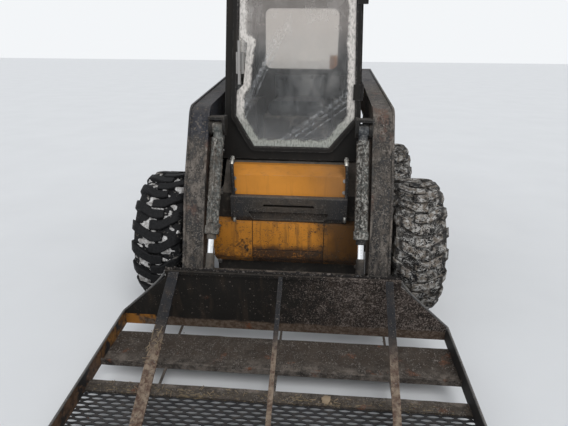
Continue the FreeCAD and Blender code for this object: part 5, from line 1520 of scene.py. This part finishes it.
class LOADER_OT_fasteners(bpy.types.Operator):
    """Bolts beside the front panels and in the arms' pins"""

    bl_idname = "loader.fasteners"
    bl_label = "Fasteners"

    def execute(self, context):
        size = context.scene.loader_sizes.bolt_size
        bm = bmesh.new()
        for side in (1, -1):
            for z in (0.350, 0.585):
                add_hex(bm, (side * 0.420, -0.5152, z), AHEAD, size, 0.007)
            for z in (0.80, 0.87):
                add_hex(bm, (side * 0.325, -0.4602, z), AHEAD, size * 0.8, 0.006)
        piece("front_bolts", bm, "root", "bare_steel")
        bm = bmesh.new()
        x, y, z = ARM_PIN
        for side in (1, -1):
            for i in range(3):
                turn = 2 * math.pi * i / 3 + 0.5
                spot = (side * x, y + 0.020 * math.cos(turn), z + 0.020 * math.sin(turn))
                add_hex(bm, spot, (side, 0, 0), size * 0.8, 0.006, washer=False)
        piece("arm_pin_bolts", bm, "lift_arms", "bare_steel")
        return {"FINISHED"}


PUFF_PRESSURE, PUFF_FRAMES = 4.0, 20


def swell(obj, cap):
    """Puffs a closed cover out like a stuffed one, by no more than cap, and leaves a plain mesh."""
    scene = bpy.context.scene
    remesh = obj.modifiers.new("even", "REMESH")
    remesh.mode = "VOXEL"
    remesh.voxel_size = 0.006
    even = bpy.data.meshes.new_from_object(obj.evaluated_get(bpy.context.evaluated_depsgraph_get()))
    obj.modifiers.clear()
    old, obj.data = obj.data, even
    bpy.data.meshes.remove(old)
    start = [v.co.copy() for v in obj.data.vertices]
    cloth = obj.modifiers.new("stuffing", "CLOTH")
    cloth.settings.use_pressure = True
    cloth.settings.uniform_pressure_force = PUFF_PRESSURE
    cloth.settings.effector_weights.gravity = 0.0
    cloth.point_cache.frame_start = 1
    cloth.point_cache.frame_end = PUFF_FRAMES
    for number in range(1, PUFF_FRAMES + 1):
        scene.frame_set(number)
    puffed = bpy.data.meshes.new_from_object(obj.evaluated_get(bpy.context.evaluated_depsgraph_get()))
    obj.modifiers.clear()
    for vert, rest, new in zip(obj.data.vertices, start, puffed.vertices):
        move = new.co - rest
        if move.length > cap:
            move *= cap / move.length
        vert.co = rest + move
    bpy.data.meshes.remove(puffed)
    scene.frame_set(1)


class LOADER_OT_seat(bpy.types.Operator):
    """Padded seat cushion and backrest with sewn channels"""

    bl_idname = "loader.seat"
    bl_label = "Seat"

    def execute(self, context):
        rim = Vector((0.010, 0.010, 0.010))
        for name, node in (("cushion", "seat_cushion"), ("backrest", "seat_back")):
            low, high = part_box(node)
            bm = bmesh.new()
            add_block(bm, low + rim, high - rim, 0.022, 3)
            obj = piece(
                "seat_" + name + "_cover", bm, "root", "seat_vinyl", stands_for=(node,), sharp=180,
                merge=1e-5)
            obj.parent = None
            swell(obj, context.scene.loader_sizes.seat_cap)
            for v in obj.data.vertices:
                groove = max(0.0, 1.0 - abs(abs(v.co.x) - 0.105) / 0.012)
                depth = 0.009 * groove * groove
                if name == "cushion" and v.co.z > high.z - 0.04:
                    v.co.z -= depth
                elif name == "backrest" and v.co.y < low.y + 0.035:
                    v.co.y += depth
            obj.data.materials.clear()
            obj.data.materials.append(FINISH["seat_vinyl"])
            obj.data.shade_smooth()
            smooth = obj.modifiers.new("smooth", "SUBSURF")
            smooth.levels = smooth.render_levels = 1
            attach(obj, "root")
        return {"FINISHED"}


class LOADER_OT_lamps(bpy.types.Operator):
    """Lenses and rims of the work lamps"""

    bl_idname = "loader.lamps"
    bl_label = "Lamps"

    def execute(self, context):
        low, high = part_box("work_lamps")
        lenses, rims = bmesh.new(), bmesh.new()
        for side in (1, -1):
            face = Vector((side * 0.321, low.y - 0.0005, (low.z + high.z) / 2 + 0.008))
            add_block(lenses, face + Vector((-0.036, -0.003, -0.026)), face + Vector((0.036, 0.004, 0.026)), 0.003)
            corners = [(-0.041, -0.031), (0.041, -0.031), (0.041, 0.031), (-0.041, 0.031)]
            rim = bmesh.new()
            add_ring_plate(rim, [face + Vector((x, -0.005, z)) for x, z in corners], 0.007, 0.010, BEHIND)
            add_part(rims, rim)
        piece("work_lamp_lenses", lenses, "root", "lamp_lens")
        piece("work_lamp_rims", rims, "root", "black_cab")
        return {"FINISHED"}


class LOADER_PT_panel(bpy.types.Panel):
    """Sizes, colours and pieces of the loader"""

    bl_idname = "LOADER_PT_panel"
    bl_label = "Skid Steer Loader"
    bl_space_type = "VIEW_3D"
    bl_region_type = "UI"
    bl_category = "Loader"

    def draw(self, context):
        for made in OPERATORS:
            self.layout.operator(made.bl_idname)
        for group in (context.scene.loader_sizes, context.scene.loader_colours):
            box = self.layout.box()
            for name in group.__annotations__:
                box.prop(group, name)


OPERATORS = (
    LOADER_OT_finishes, LOADER_OT_stage, LOADER_OT_tyres, LOADER_OT_tyre_dirt, LOADER_OT_wheel_trim,
    LOADER_OT_tray_mesh, LOADER_OT_tray_deck, LOADER_OT_wall_top, LOADER_OT_tray_dirt, LOADER_OT_arm_dirt,
    LOADER_OT_door_trim, LOADER_OT_hydraulics, LOADER_OT_front_lines, LOADER_OT_rear_fittings,
    LOADER_OT_fasteners, LOADER_OT_seat, LOADER_OT_lamps,
)
CLASSES = (LoaderSizes, LoaderColours, *OPERATORS, LOADER_PT_panel)


def register():
    for made in CLASSES:
        bpy.utils.register_class(made)
    bpy.types.Scene.loader_sizes = PointerProperty(type=LoaderSizes)
    bpy.types.Scene.loader_colours = PointerProperty(type=LoaderColours)


def unregister():
    del bpy.types.Scene.loader_colours
    del bpy.types.Scene.loader_sizes
    for made in reversed(CLASSES):
        bpy.utils.unregister_class(made)


def main():
    register()
    for made in OPERATORS:
        space, call = made.bl_idname.split(".")
        getattr(getattr(bpy.ops, space), call)()


if __name__ == "__main__":
    main()
